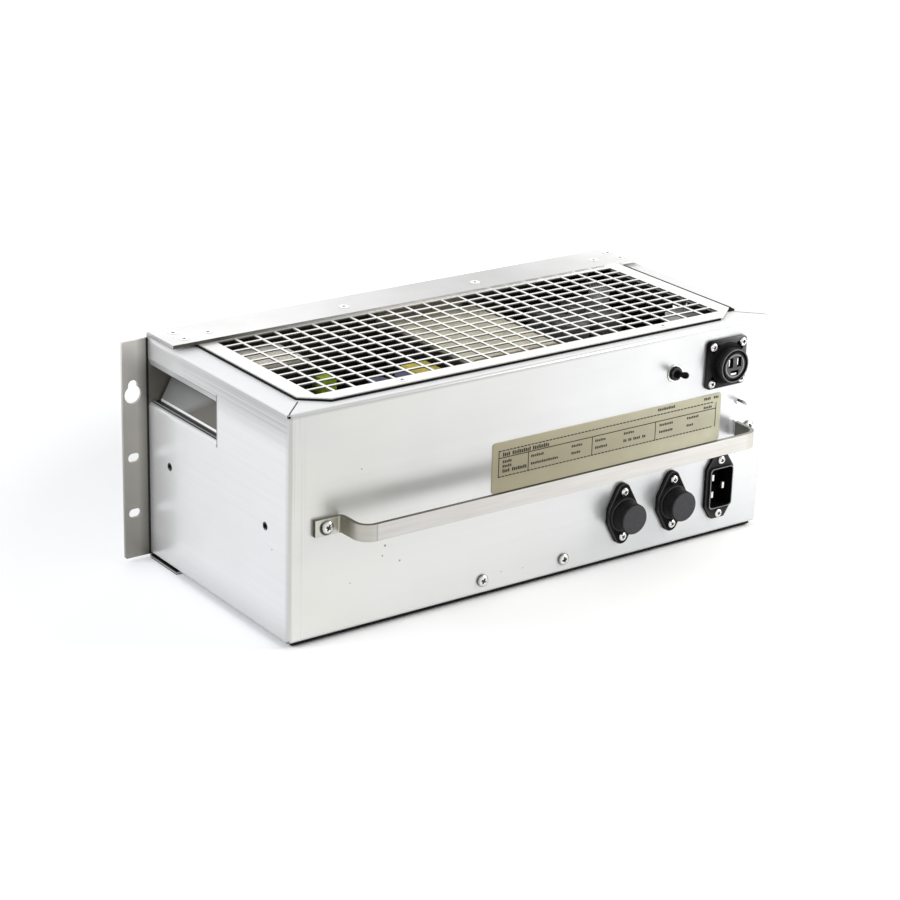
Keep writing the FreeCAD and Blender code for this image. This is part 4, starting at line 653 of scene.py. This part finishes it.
NODE_FINISHES = {
    SHEET: ("chassis_wrap", "bottom_cover"),
    INNER: ("base_tray",),
    GRILLE: ("top_grille",),
    RECESS: ("left_grip_recess", "right_grip_recess"),
    FRAME: ("mounting_frame",),
    STRAP: ("front_handle",),
    BRIGHT: ("earth_nut", "board_standoffs", "control_posts", "power_standoffs"),
    BLACK: ("toggle_switch",),
    FACE: ("connector_insert",),
    BLADE: ("connector_contacts", "inlet_pins"),
    CERAMIC: ("fuse_link_1", "fuse_link_2"),
    LAMINATE: ("main_board", "control_board", "power_board"),
    WRAP: ("transformer_coil",),
    CHOKE_WRAP: ("choke_coil",),
    IRON: ("transformer_core", "choke_core"),
    SINK: ("heat_sink",),
    YELLOW: ("aux_transformer",),
    BLUE: ("small_capacitors",),
    CAN: ("bulk_capacitors",),
    WHITE: ("output_relay", "signal_plug"),
    GREEN: ("earth_terminal",),
}
for finish, names in NODE_FINISHES.items():
    for name in names:
        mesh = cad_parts[name].data
        mesh.materials.clear()
        mesh.materials.append(finish)


# Screws and rivets

SHANK = 8.0
# Each head gives its radius, its height and its shank's radius
PAN = (4.8, 2.9, 2.0)
SMALL = (3.4, 2.0, 1.5)
BASE_PAN = (4.8, 2.5, 2.0)
FLUSH = (4.2, 0.3, 1.5)
RIVET_RADIUS, RIVET_END = 1.5, -3.3
COVER_EDGE, BASE_FACE, BASE_INSET = 15.5, -1.0, 60.0
FUSE_EAR, CONNECTOR_EAR, INLET_EAR = 18.2, 14.7, 22.1
HANDLE_SCREWS = [(HANDLE_MIDDLE + side * HANDLE_SCREW, FOOT_FACE, HANDLE_Z) for side in (-1, 1)]
PANEL_SCREWS = [(168.6, 0.0, 11.0), (244.0, 0.0, 11.0)]
FUSE_SCREWS = [(x, -FUSE_FLANGE, z + step) for x, z in FUSE_MIDDLES for step in (-FUSE_EAR, FUSE_EAR)]
CONNECTOR_SCREWS = [(CONNECTOR[0] + i * CONNECTOR_EAR, -CONNECTOR_FLANGE, CONNECTOR[1] + j * CONNECTOR_EAR)
                    for i in (-1, 1) for j in (-1, 1)]
INLET_SCREWS = [(INLET[0], -INLET_FLANGE, INLET[1] + step) for step in (-INLET_EAR, INLET_EAR)]
STRIP_HEADS = [(edge + sign * inset, behind) for edge, sign in ((0.0, 1), (BOX_WIDE, -1))
               for inset, behind in ((38.0, 172.0), (157.6, 172.0), (14.9, 166.7), (14.9, 183.0))]


def cross_recess(across, along, reach, width, depth):
    """Two crossed slots with sloping walls: full depth inside the arms, less to their ends and sides."""
    def arm(first, second):
        ends = np.clip((reach - np.abs(first)) / (0.45 * reach), 0, 1)
        sides = np.clip((width - np.abs(second)) / (0.5 * width) + 0.5, 0, 1)
        return ends * sides
    return depth * np.maximum(arm(across, along), arm(along, across))


def screw(centre, radius, high, shank, stance="front", twist=0.6, proud=0.22, around=56, rim=0.35):
    """A head whose height falls from the crown to the rim as a squared-off ellipse, less a crossed recess, on
    a plain shank. Its shade is painted shade: dark down in the recess and round the foot of the rim."""
    power = 2.5
    reach, width, depth = 0.54 * radius, 0.15 * radius, 0.62 * high
    inner = np.linspace(0.04, 0.66, 11) * radius
    outer = np.sin(np.linspace(0.78, 1.0, 8) * math.pi / 2) ** 0.8 * radius
    outer = outer[outer > inner[-1] + 0.02 * radius]
    crown = np.concatenate([inner, outer])
    base = proud * high
    rise = base + (high - base) * np.clip(1 - (crown / radius) ** power, 0, 1) ** (1 / power)
    angle = np.arange(around) * (2 * math.pi / around) + twist
    across, along = crown[:, None] * np.cos(angle), crown[:, None] * np.sin(angle)
    sunk = cross_recess(across, along, reach, width, depth)
    rows = [(MIDDLE, r, h - s) for r, h, s in zip(crown, rise, sunk)]
    rows += [(MIDDLE, radius, 0.0), (MIDDLE, shank, 0.0), (MIDDLE, shank, -SHANK)]
    # painted shade round the foot of the rim, by the rim's share
    edge = rim * np.clip((crown / radius - 0.90) / 0.07, 0, 1)
    shade = np.maximum(np.clip(1.6 * sunk / depth, 0, 1), edge[:, None])
    shade = np.concatenate([shade.ravel(), np.ones(3 * around + 2)])
    return *moulded(rows, centre, stance, around=around), shade


def flush_head(x, y, z):
    """A low countersunk head: a flat crown a little above the plate with a crossed recess."""
    return screw((x, y, z), *FLUSH, "top", proud=0.4, around=40)


def lower_rivet(x, y):
    """A plain rivet end under the lower flange, its rim turned over."""
    profile = [(0.7, 0.0), (1.3, 0.0), (RIVET_RADIUS, -0.2), (RIVET_RADIUS, -SHANK)]
    points, faces = turned(profile, (x, y, RIVET_END), "under", around=24)
    return points, faces, np.zeros(len(points))


def screw_set(name, heads):
    """One piece of several heads, which stands for their node."""
    shape = joined([head[:2] for head in heads])
    piece(name.removesuffix("s") + "_heads", shape, BRIGHT, replaces=(name,), crease=50,
          shade=np.concatenate([head[2] for head in heads]))


def panel_set(name, places, size, rim=0.35):
    """A set of heads on the front, each recess turned 0.9 further than the one before."""
    screw_set(name, [screw(place, *size, twist=0.5 + 0.9 * i, rim=rim) for i, place in enumerate(places)])


# The last number is each head's share of painted shade round its rim
panel_set("handle_screws", HANDLE_SCREWS, PAN, 0.8)
panel_set("panel_screws", PANEL_SCREWS, PAN, 0.95)
panel_set("fuse_holder_screws", FUSE_SCREWS, SMALL)
panel_set("connector_screws", CONNECTOR_SCREWS, SMALL)
panel_set("inlet_screws", INLET_SCREWS, SMALL)
strip_rivets = [flush_head(x, y, STRIP_TOP) for x, y in STRIP_HEADS]
screw_set("frame_rivets", strip_rivets + [lower_rivet(x, y) for x, y in STRIP_HEADS])
screw_set("cover_screws", [flush_head(x, COVER_EDGE, GRILLE_TOP) for x in (104.0, 343.0)])
base_heads = [screw((x, COVER_EDGE, BASE_FACE), *BASE_PAN, "under")
              for x in (BASE_INSET, BOX_WIDE - BASE_INSET)]
screw_set("base_screws", base_heads)


# Seal and foot strips

SEAL_LOW, SEAL_TOP = BOX_HIGH, BOX_HIGH + 1.5
# Black rubber strips under the cover's edges; their black lines stand partly for the shade in the gaps round
# the cover
SEAL_RUNS = [
    [(20.9, 24.2, SEAL_LOW), (27.0, 193.0, SEAL_TOP)],
    [(40.4, 8.2, SEAL_LOW), (395.0, 14.2, SEAL_TOP)],
    [(411.0, 26.0, SEAL_LOW), (419.3, 193.0, SEAL_TOP)],
    [(414.0, 21.5, SEAL_LOW), (420.3, 26.0, SEAL_TOP)],
    # this run stands higher so that its black line shows along the cover's right edge
    [(417.0, 24.0, SEAL_LOW), (419.1, 155.0, SEAL_TOP + 0.9)],
]
CUT_CORNER = [[-10.1, 6.2], [9.4, -9.8], [9.4, -3.8], [-4.0, 6.2]]
corner_rows = [(CUT_CORNER, 0.02, SEAL_TOP - SEAL_LOW), (CUT_CORNER, 0.02, 0.0)]
seal_corner = moulded(corner_rows, (31.0, 18.0, SEAL_LOW), "top")
piece("cover_seal_strips", joined([slabs(SEAL_RUNS), seal_corner]), SEAL, replaces=("cover_seal",))

# A black rubber strip under the front edge; its black line stands partly for the shade in the gap under the
# box
FOOT_SECTION = [[-2.7, 1.3], [-2.7, 0.55], [0.25, -1.4], [2.7, -1.4], [2.7, 1.3]]
FOOT_LONG = 426.6
foot_ends = ((0.1, FOOT_LONG), (0.3, FOOT_LONG - 0.2), (0.3, 0.2), (0.1, 0.0))
foot_rows = [(FOOT_SECTION, radius, along) for radius, along in foot_ends]
piece("foot_strip_rubber", moulded(foot_rows, (6.0, 4.5, -1.6), "side"), SEAL, replaces=("foot_strip",))


# Fuse holders and caps

FLANGE_TIP = [[0.0, FUSE_EAR], [0.0, -FUSE_EAR], [7.6, 4.2], [7.6, -4.2], [-7.6, 4.2], [-7.6, -4.2]]


def rows_shade(shape, shades):
    """A shade for each ring of a shape, and for its poles those of the first and last rings."""
    around = (len(shape[0]) - 2) // len(shades)
    return np.concatenate([np.repeat(shades, around), [shades[0], shades[-1]]])


def fuse_holder(x, z):
    """A flange whose outline is a circle carried round six corners, a stepped collar, and the tube behind it.
    The rounded edges carry a painted highlight."""
    edge = ((4.0, FUSE_FLANGE), (5.4, FUSE_FLANGE), (6.1, 3.75), (6.4, 3.1), (6.4, 0.0))
    flange = moulded([(FLANGE_TIP, radius, height) for radius, height in edge], (x, 0.0, z))
    collar_steps = [(9.0, 6.6), (12.3, 6.6), (13.0, 6.4), (13.3, 5.8), (13.3, 5.0), (13.8, 4.3), (14.0, 4.0)]
    collar = turned(collar_steps, (x, 0.0, z))
    tube = turned([(6.0, -1.6), (9.0, -1.6), (9.0, -36.0)], (x, 0.0, z), around=32)
    shade = [rows_shade(flange, [0.0, 0.02, 0.30, 0.05, 0.0]),
             rows_shade(collar, [0.0, 0.02, 0.25, 0.05, 0.0, 0.08, 0.0]), rows_shade(tube, [0.0, 0.0, 0.0])]
    return joined([flange, collar, tube]), np.concatenate(shade)


def fuse_cap(x, z):
    """A slightly tapered drum with a crowned face painted paler as lit and a rounded edge, on its carrier
    stem.
    """
    edge = np.linspace(0, math.pi / 2, 7)
    crown = [(r, 18.3 - 0.25 * (r / 10.6) ** 2) for r in (2.5, 5.0, 7.5, 9.5)]
    rim = [(10.5 + 1.5 * math.sin(a), 16.55 + 1.5 * math.cos(a)) for a in edge]
    side = [(12.1, 13.5), (12.25, 10.0), (12.4, 7.6), (12.2, 7.05), (11.0, 7.0)]
    stem = [(6.5, 7.0), (6.5, -20.0)]
    shape = turned(crown + rim + side + stem, (x, 0.0, z))
    on_rim = [1.0, 1.0, 0.8, 0.45, 0.2, 0.08, 0.02]
    return shape, rows_shade(shape, [1.0] * len(crown) + on_rim + [0.0] * len(side + stem))


for number, (x, z) in enumerate(FUSE_MIDDLES, 1):
    holder, pale = fuse_holder(x, z)
    piece(f"fuse_holder_{number}_moulding", holder, BLACK, replaces=(f"fuse_holder_{number}",),
          shade=pale)
    cap, pale = fuse_cap(x, z)
    piece(f"fuse_cap_{number}_moulding", cap, CAP, f"fuse_carrier_{number}", replaces=(f"fuse_cap_{number}",),
          shade=pale)


# Connector, toggle and earth stud

SQUARE = corners(15.5, 15.5)
NUT_AROUND, NUT_NOTCHES = 96, 8


def connector_shell():
    """A square flange with rounded corners, and a ridged barrel that swells to its foot, with a rolled rim
    and its bore. The flange carries painted light to its upper right and painted shade to its left, and the
    rim and the ridges carry painted highlights all round."""
    middle = (CONNECTOR[0], 0.0, CONNECTOR[1])
    edge = ((-6.0, 3.0), (1.0, 3.0), (3.2, 3.0), (3.8, 2.7), (4.0, 2.2), (4.0, 0.0))
    flange = moulded([(SQUARE, radius, height) for radius, height in edge], middle)
    rim = [(12.2, -17.0), (12.2, 12.0), (12.3, 12.4), (12.5, 12.5), (13.1, 12.5), (13.35, 12.3), (13.4, 11.8)]
    ridges = [(radius, top - down) for top in (10.9, 9.4)
              for radius, down in ((13.4, 0.0), (12.9, 0.2), (12.9, 0.7), (13.4, 0.9))]
    foot = [(13.5, 6.2), (14.6, 4.6), (16.6, 3.0), (13.4, 2.9), (13.4, -17.0)]
    barrel = turned(rim + ridges + foot, middle, looped=True)
    points = flange[0]
    right, high = points[:, 0] > CONNECTOR[0], points[:, 2] > CONNECTOR[1]
    lit = np.where(right, np.where(high, 0.44, 0.14), np.where(high, 0.0, 0.11))
    lit *= np.concatenate([np.repeat([0.0, 0.9, 1.0, 1.4, 1.0, 1.0], AROUND), [0.0, 0.0]])
    on_rim = [0.0, 0.0, 0.2, 0.4, 0.4, 0.2, 0.05]
    on_ridges = [0.16, 0.0, 0.0, 0.12, 0.04, 0.0, 0.0, 0.04]
    on_foot = [0.0, 0.0, 0.02, 0.0, 0.0]
    return joined([flange, barrel]), np.concatenate([lit, np.repeat(on_rim + on_ridges + on_foot, AROUND)])


def toggle_washer():
    """A flat ring with a bevelled edge, with painted shade at its bore, its bevel and its foot."""
    profile = [(3.1, 0.0), (3.1, 0.8), (6.9, 0.8), (7.2, 0.5), (7.2, 0.0)]
    shape = turned(profile, (TOGGLE[0], 0.0, TOGGLE[1]), looped=True)
    return shape, np.repeat([0.6, 0.5, 0.1, 0.6, 0.9], AROUND)


def ring_nut():
    """A ring whose rim steps in at its notches, with a painted highlight on its chamfered face."""
    angle = np.arange(NUT_AROUND) * (2 * math.pi / NUT_AROUND)
    notch = 0.55 * (np.cos(NUT_NOTCHES * angle) > 0.55)
    profile = [(3.05, 0.85), (3.05, 2.9), (4.6 - notch, 3.0), (5.2 - notch, 2.75), (5.4 - notch, 2.3),
               (5.4 - notch, 1.3), (5.4, 1.1), (5.4, 0.85)]
    shape = turned(profile, (TOGGLE[0], 0.0, TOGGLE[1]), looped=True, around=NUT_AROUND)
    return shape, np.repeat([0.0, 0.1, 0.3, 0.12, 0.02, 0.0, 0.0, 0.0], NUT_AROUND)


def toggle_stick():
    """A stick that thickens to a rounded tip, turned about its pivot."""
    tilt = math.radians(10.0)
    turn = [[1, 0, 0], [0, math.cos(tilt), math.sin(tilt)], [0, -math.sin(tilt), math.cos(tilt)]]
    tip = [(2.6 * math.sin(a), 10.8 + 2.6 * math.cos(a)) for a in np.linspace(0.15, math.pi / 2, 7)]
    stem = [(2.5, 9.0), (1.8, 4.8), (1.3, 2.6)]
    ball = [(2.42 * math.sin(a), 2.42 * math.cos(a)) for a in np.linspace(0.54, 3.0, 9)]
    return turned(tip + stem + ball, (TOGGLE[0], -2.0, TOGGLE[1]), turn=turn, around=40)


def threaded_stud(x, z):
    """A rod whose radius follows a triangle wave of height less turn, which makes a screw thread. It carries
    painted shade, darker to its root."""
    around, pitch, tip = 32, 0.6, 11.0
    angle = np.arange(around) / around
    heights = np.arange(-7.0, 10.7, 0.15)
    phase = (heights[:, None] / pitch - angle) % 1.0
    radius = 1.02 + 0.48 * np.abs(phase - 0.5)
    radius[heights < 1.6] = 1.0
    profile = [(0.7, tip)] + list(zip(radius[::-1], heights[::-1]))
    shape = turned(profile, (x, 0.0, z), around=around)
    dull_and_shade = np.clip(0.95 - 0.16 * (np.append(heights, tip)[::-1] - 5.5), 0.25, 0.95)
    return shape, rows_shade(shape, dull_and_shade)


shell, pale = connector_shell()
piece("connector_shell_moulding", shell, SHELL, replaces=("connector_body",),
      shade=pale)
washer, dull_and_shade = toggle_washer()
piece("toggle_washer_ring", washer, BRIGHT, replaces=("toggle_washer",), shade=dull_and_shade)
nut, pale = ring_nut()
piece("toggle_ring_nut", nut, BLACK, replaces=("toggle_nut",), shade=pale)
piece("toggle_stick", toggle_stick(), BLACK, "switch_lever", replaces=("toggle_lever",))
stud, dull_and_shade = threaded_stud(*EARTH_STUD)
piece("earth_stud_thread", stud, BRIGHT, replaces=("earth_stud",), crease=60,
      shade=dull_and_shade)


# Mains inlet

def inlet_moulding():
    """One closed skin: socket floor, socket walls, rim with a painted highlight, collar, flange edge with a
    painted highlight, back, and the rear housing. Each ring is a circle carried round the corners of its own
    outline."""
    mouth = corners(7.7, 13.0)
    collar = corners(8.5, 13.8)
    rear = corners(9.2, 14.5)
    flange = corners(11.0, 14.76) + corners(5.14, 23.8)
    rows = [(mouth, 2.2, -12.0), (mouth, 3.0, -11.6), (mouth, 3.0, 5.0), (mouth, 3.1, 5.4), (mouth, 3.3, 5.5)]
    rows += [(collar, 2.75, 5.5), (collar, 2.95, 5.35), (collar, 3.0, 4.9), (collar, 3.0, 3.3),
             (collar, 3.1, 3.0)]
    rows += [(flange, 1.7, 3.0), (flange, 2.3, 2.8), (flange, 2.5, 2.3), (flange, 2.5, 0.0)]
    rows += [(rear, 3.0, -0.1), (rear, 3.0, -21.5), (rear, 2.2, -22.0)]
    shape = moulded(rows, (INLET[0], 0.0, INLET[1]), around=96)
    in_mouth = [0.0, 0.0, 0.0, 0.8, 1.0]
    on_collar = [1.0, 0.6, 0.05, 0.0, 0.08]
    on_flange = [0.17, 0.32, 0.0, 0.0]
    return shape, rows_shade(shape, in_mouth + on_collar + on_flange + [0.0] * 3)


inlet, pale = inlet_moulding()
piece("inlet_moulding", inlet, BLACK, replaces=("inlet_housing",), shade=pale)


# Nameplate and its print

PLATE_ROUND = 2.5
TABLE_LEFT, TABLE_LOW, TABLE_RIGHT, TABLE_TOP = 0.023, 0.31, 0.975, 0.82
FIELD_DEPTH, INK_DEPTH = 0.03, 0.06


def plate_sheet():
    """A thin sheet with round corners and a softened edge."""
    wide, high = PLATE_WIDE / 2 - PLATE_ROUND, PLATE_HIGH / 2 - PLATE_ROUND
    inner = [(i * wide, j * high) for i in (-1, 1) for j in (-1, 1)]
    rows = [(inner, PLATE_ROUND - 0.6, PLATE_THICK), (inner, PLATE_ROUND - 0.15, PLATE_THICK),
            (inner, PLATE_ROUND, PLATE_THICK - 0.15), (inner, PLATE_ROUND, 0.0)]
    return moulded(rows, (PLATE_LEFT + PLATE_WIDE / 2, 0.0, PLATE_LOW + PLATE_HIGH / 2))


def printed(fields, depth):
    """Flat fields on the plate, each from its left, low, right and high shares of the plate."""
    fields = np.asarray(fields, float)
    across = PLATE_LEFT + PLATE_WIDE * fields[:, [0, 2]]
    up = PLATE_LOW + PLATE_HIGH * fields[:, [1, 3]]
    back = np.broadcast_to([-PLATE_THICK - depth, -PLATE_THICK], across.shape)
    return slabs(np.stack([across, back, up], -1))


def ruled_lines():
    """The table's ruled lines: broken lines along its low and top edges, the rule under its head row, its
    sides and three dividers."""
    thin_x, thin_z, head = 0.0034, 0.018, 0.685
    dashes = np.arange(TABLE_LEFT, TABLE_RIGHT - 0.012, 0.0152)
    lines = [(dash, z, dash + 0.0118, z + 0.022) for z in (TABLE_LOW, TABLE_TOP) for dash in dashes]
    lines += [(TABLE_LEFT, head, TABLE_RIGHT, head + thin_z)]
    lines += [(x, TABLE_LOW, x + thin_x, TABLE_TOP) for x in (TABLE_LEFT, TABLE_RIGHT)]
    lines += [(x, TABLE_LOW, x + thin_x, head) for x in (0.147, 0.42, 0.70)]
    return lines


def word_bars():
    """Plain blocks in rows of short fields, each field broken into small upright blocks. A row gives its
    left, its low edge, its height and its fields' lengths, as shares of the plate."""
    rows = [(0.041, 0.715, 0.078, (0.030, 0.075, 0.072)), (0.71, 0.900, 0.056, (0.075,)),
            (0.92, 0.900, 0.056, (0.035, 0.022)), (0.92, 0.725, 0.050, (0.040,)),
            (0.041, 0.582, 0.056, (0.036,)), (0.041, 0.492, 0.056, (0.036,)),
            (0.041, 0.392, 0.070, (0.030, 0.060)),
            (0.16, 0.572, 0.050, (0.055,)), (0.16, 0.422, 0.050, (0.12,)),
            (0.333, 0.572, 0.050, (0.047,)), (0.333, 0.432, 0.050, (0.040,)),
            (0.435, 0.572, 0.050, (0.045,)), (0.435, 0.432, 0.050, (0.055,)),
            (0.56, 0.582, 0.050, (0.050,)), (0.56, 0.432, 0.056, (0.012, 0.012, 0.030, 0.014)),
            (0.72, 0.582, 0.050, (0.065,)), (0.72, 0.442, 0.050, (0.065,)),
            (0.845, 0.592, 0.050, (0.055,)), (0.845, 0.442, 0.050, (0.035,))]
    block, pitch, gap = 0.0056, 0.0078, 0.010
    bars = []
    for left, low, tall, lengths in rows:
        for length in lengths:
            starts = np.arange(left, left + length - 0.004, pitch)
            for count, start in enumerate(starts):
                bars.append((start, low, start + block, low + tall * (1.0, 0.8, 0.9)[count * 5 % 3]))
            left += length + gap
    return bars


table_field = [(TABLE_LEFT, TABLE_LOW, TABLE_RIGHT, TABLE_TOP)]
piece("nameplate_sheet", plate_sheet(), PLATE, replaces=("nameplate",))
piece("nameplate_field", printed(table_field, FIELD_DEPTH), PLATE_FIELD)
piece("nameplate_print", printed(ruled_lines() + word_bars(), INK_DEPTH), PLATE_INK)


# Floor, light and camera

FLOOR_REACH = 12.0
FOCAL_PIXELS, FRAME_PIXELS, SENSOR = 2565.7737, 900.0, 36.0
PITCH, YAW, ROLL = 0.3628325, 0.6288318, -0.0278326
SIDEWAYS, AHEAD, UPWARD = -114.02554, 1800.48156, -137.62384


def stage_floor():
    """A wide pale floor: it takes shadow near its middle, and is paler further out and where a reflection
    looks at it."""
    finish = bpy.data.materials.new("studio_floor")
    finish.use_nodes = True
    tree = finish.node_tree
    tree.nodes.clear()
    rays = wire(tree, "ShaderNodeLightPath").outputs
    mirrored = Amount(tree, rays["Is Glossy Ray"]) + rays["Is Transmission Ray"]
    place = wire(tree, "ShaderNodeTexCoord").outputs["Object"]
    away = Amount(tree, wire(tree, "ShaderNodeVectorMath", {0: place}, operation="LENGTH").outputs["Value"])
    open_floor = mixed(away.rise(0.35, 0.8), grey(1.03), grey(1.6))
    tone = mixed(mirrored, grey(0.78), grey(1.0))
    tone = mixed(Amount(tree, rays["Is Camera Ray"]), tone, open_floor)
    matte = wire(tree, "ShaderNodeBsdfDiffuse", {"Color": tone}).outputs[0]
    wire(tree, "ShaderNodeOutputMaterial", {"Surface": matte})
    mesh = bpy.data.meshes.new("studio_floor")
    edges = [(i * FLOOR_REACH, j * FLOOR_REACH, 0.0) for i, j in ((-1, -1), (1, -1), (1, 1), (-1, 1))]
    mesh.from_pydata(edges, [], [(0, 1, 2, 3)])
    mesh.materials.append(finish)
    floor = bpy.data.objects.new("studio_floor", mesh)
    bpy.context.scene.collection.objects.link(floor)


def studio_world():
    """An even pale surround for light, and plain white where the camera or a reflection looks at it."""
    world = bpy.data.worlds.new("studio")
    bpy.context.scene.world = world
    world.use_nodes = True
    tree = world.node_tree
    tree.nodes.clear()
    rays = wire(tree, "ShaderNodeLightPath").outputs
    seen = Amount(tree, rays["Is Camera Ray"]) + rays["Is Glossy Ray"] + rays["Is Transmission Ray"]
    level = seen.span(0.0, 1.0, 0.5, 1.0)
    surround = wire(tree, "ShaderNodeBackground", {"Color": grey(1.0), "Strength": level}).outputs[0]
    wire(tree, "ShaderNodeOutputWorld", {"Surface": surround})


def softbox(name, place, target, size, watts, colour):
    """A square soft lamp that faces a target point: its back axis is the line from the target to it."""
    lamp = bpy.data.lights.new(name, "AREA")
    lamp.shape = "SQUARE"
    lamp.size = size
    lamp.energy = watts
    lamp.color = colour
    item = bpy.data.objects.new(name, lamp)
    aim = np.asarray(place, float) - np.asarray(target, float)
    aim = aim / np.linalg.norm(aim)
    side = np.cross([0.0, 0.0, 1.0], aim)
    side = side / np.linalg.norm(side)
    up = np.cross(aim, side)
    pose = np.eye(4)
    pose[:3, :3] = np.column_stack([side, up, aim])
    pose[:3, 3] = place
    item.matrix_world = Matrix(pose.tolist())
    item.visible_camera = False
    bpy.context.scene.collection.objects.link(item)


def photo_camera():
    """The camera turned by yaw, pitch and roll in that order, and moved back by the box's offset from it."""
    c, s = math.cos(YAW), math.sin(YAW)
    by_yaw = np.array([[c, -s, 0], [s, c, 0], [0, 0, 1]])
    c, s = math.cos(PITCH), math.sin(PITCH)
    by_pitch = np.array([[1, 0, 0], [0, c, -s], [0, s, c]])
    c, s = math.cos(ROLL), math.sin(ROLL)
    by_roll = np.array([[c, 0, -s], [0, 1, 0], [s, 0, c]])
    turn = by_roll @ by_pitch @ by_yaw
    eye = -turn.T @ np.array([SIDEWAYS, AHEAD, UPWARD])
    pose = np.eye(4)
    pose[:3, :3] = np.column_stack([turn[0], turn[2], -turn[1]])
    pose[:3, 3] = metres(eye)
    lens = bpy.data.cameras.new("photo_camera")
    lens.sensor_width = SENSOR
    lens.lens = FOCAL_PIXELS / FRAME_PIXELS * SENSOR
    lens.clip_end = 60.0
    camera = bpy.data.objects.new("photo_camera", lens)
    camera.matrix_world = Matrix(pose.tolist())
    bpy.context.scene.collection.objects.link(camera)
    bpy.context.scene.camera = camera


stage_floor()
studio_world()
softbox("key_softbox", (0.62, -0.45, 0.42), (0.1, -0.08, 0.08), 0.45, 4.2, (1.0, 0.99, 0.97))
softbox("back_softbox", (1.1, 2.1, 1.3), (0.0, 0.0, 0.1), 3.0, 16.0, (1.0, 1.0, 1.0))
softbox("fill_softbox", (-1.4, 0.1, 0.8), (-0.2, 0.0, 0.1), 1.0, 14.0, (0.92, 0.95, 1.0))
photo_camera()
bpy.context.scene.view_settings.view_transform = "Standard"
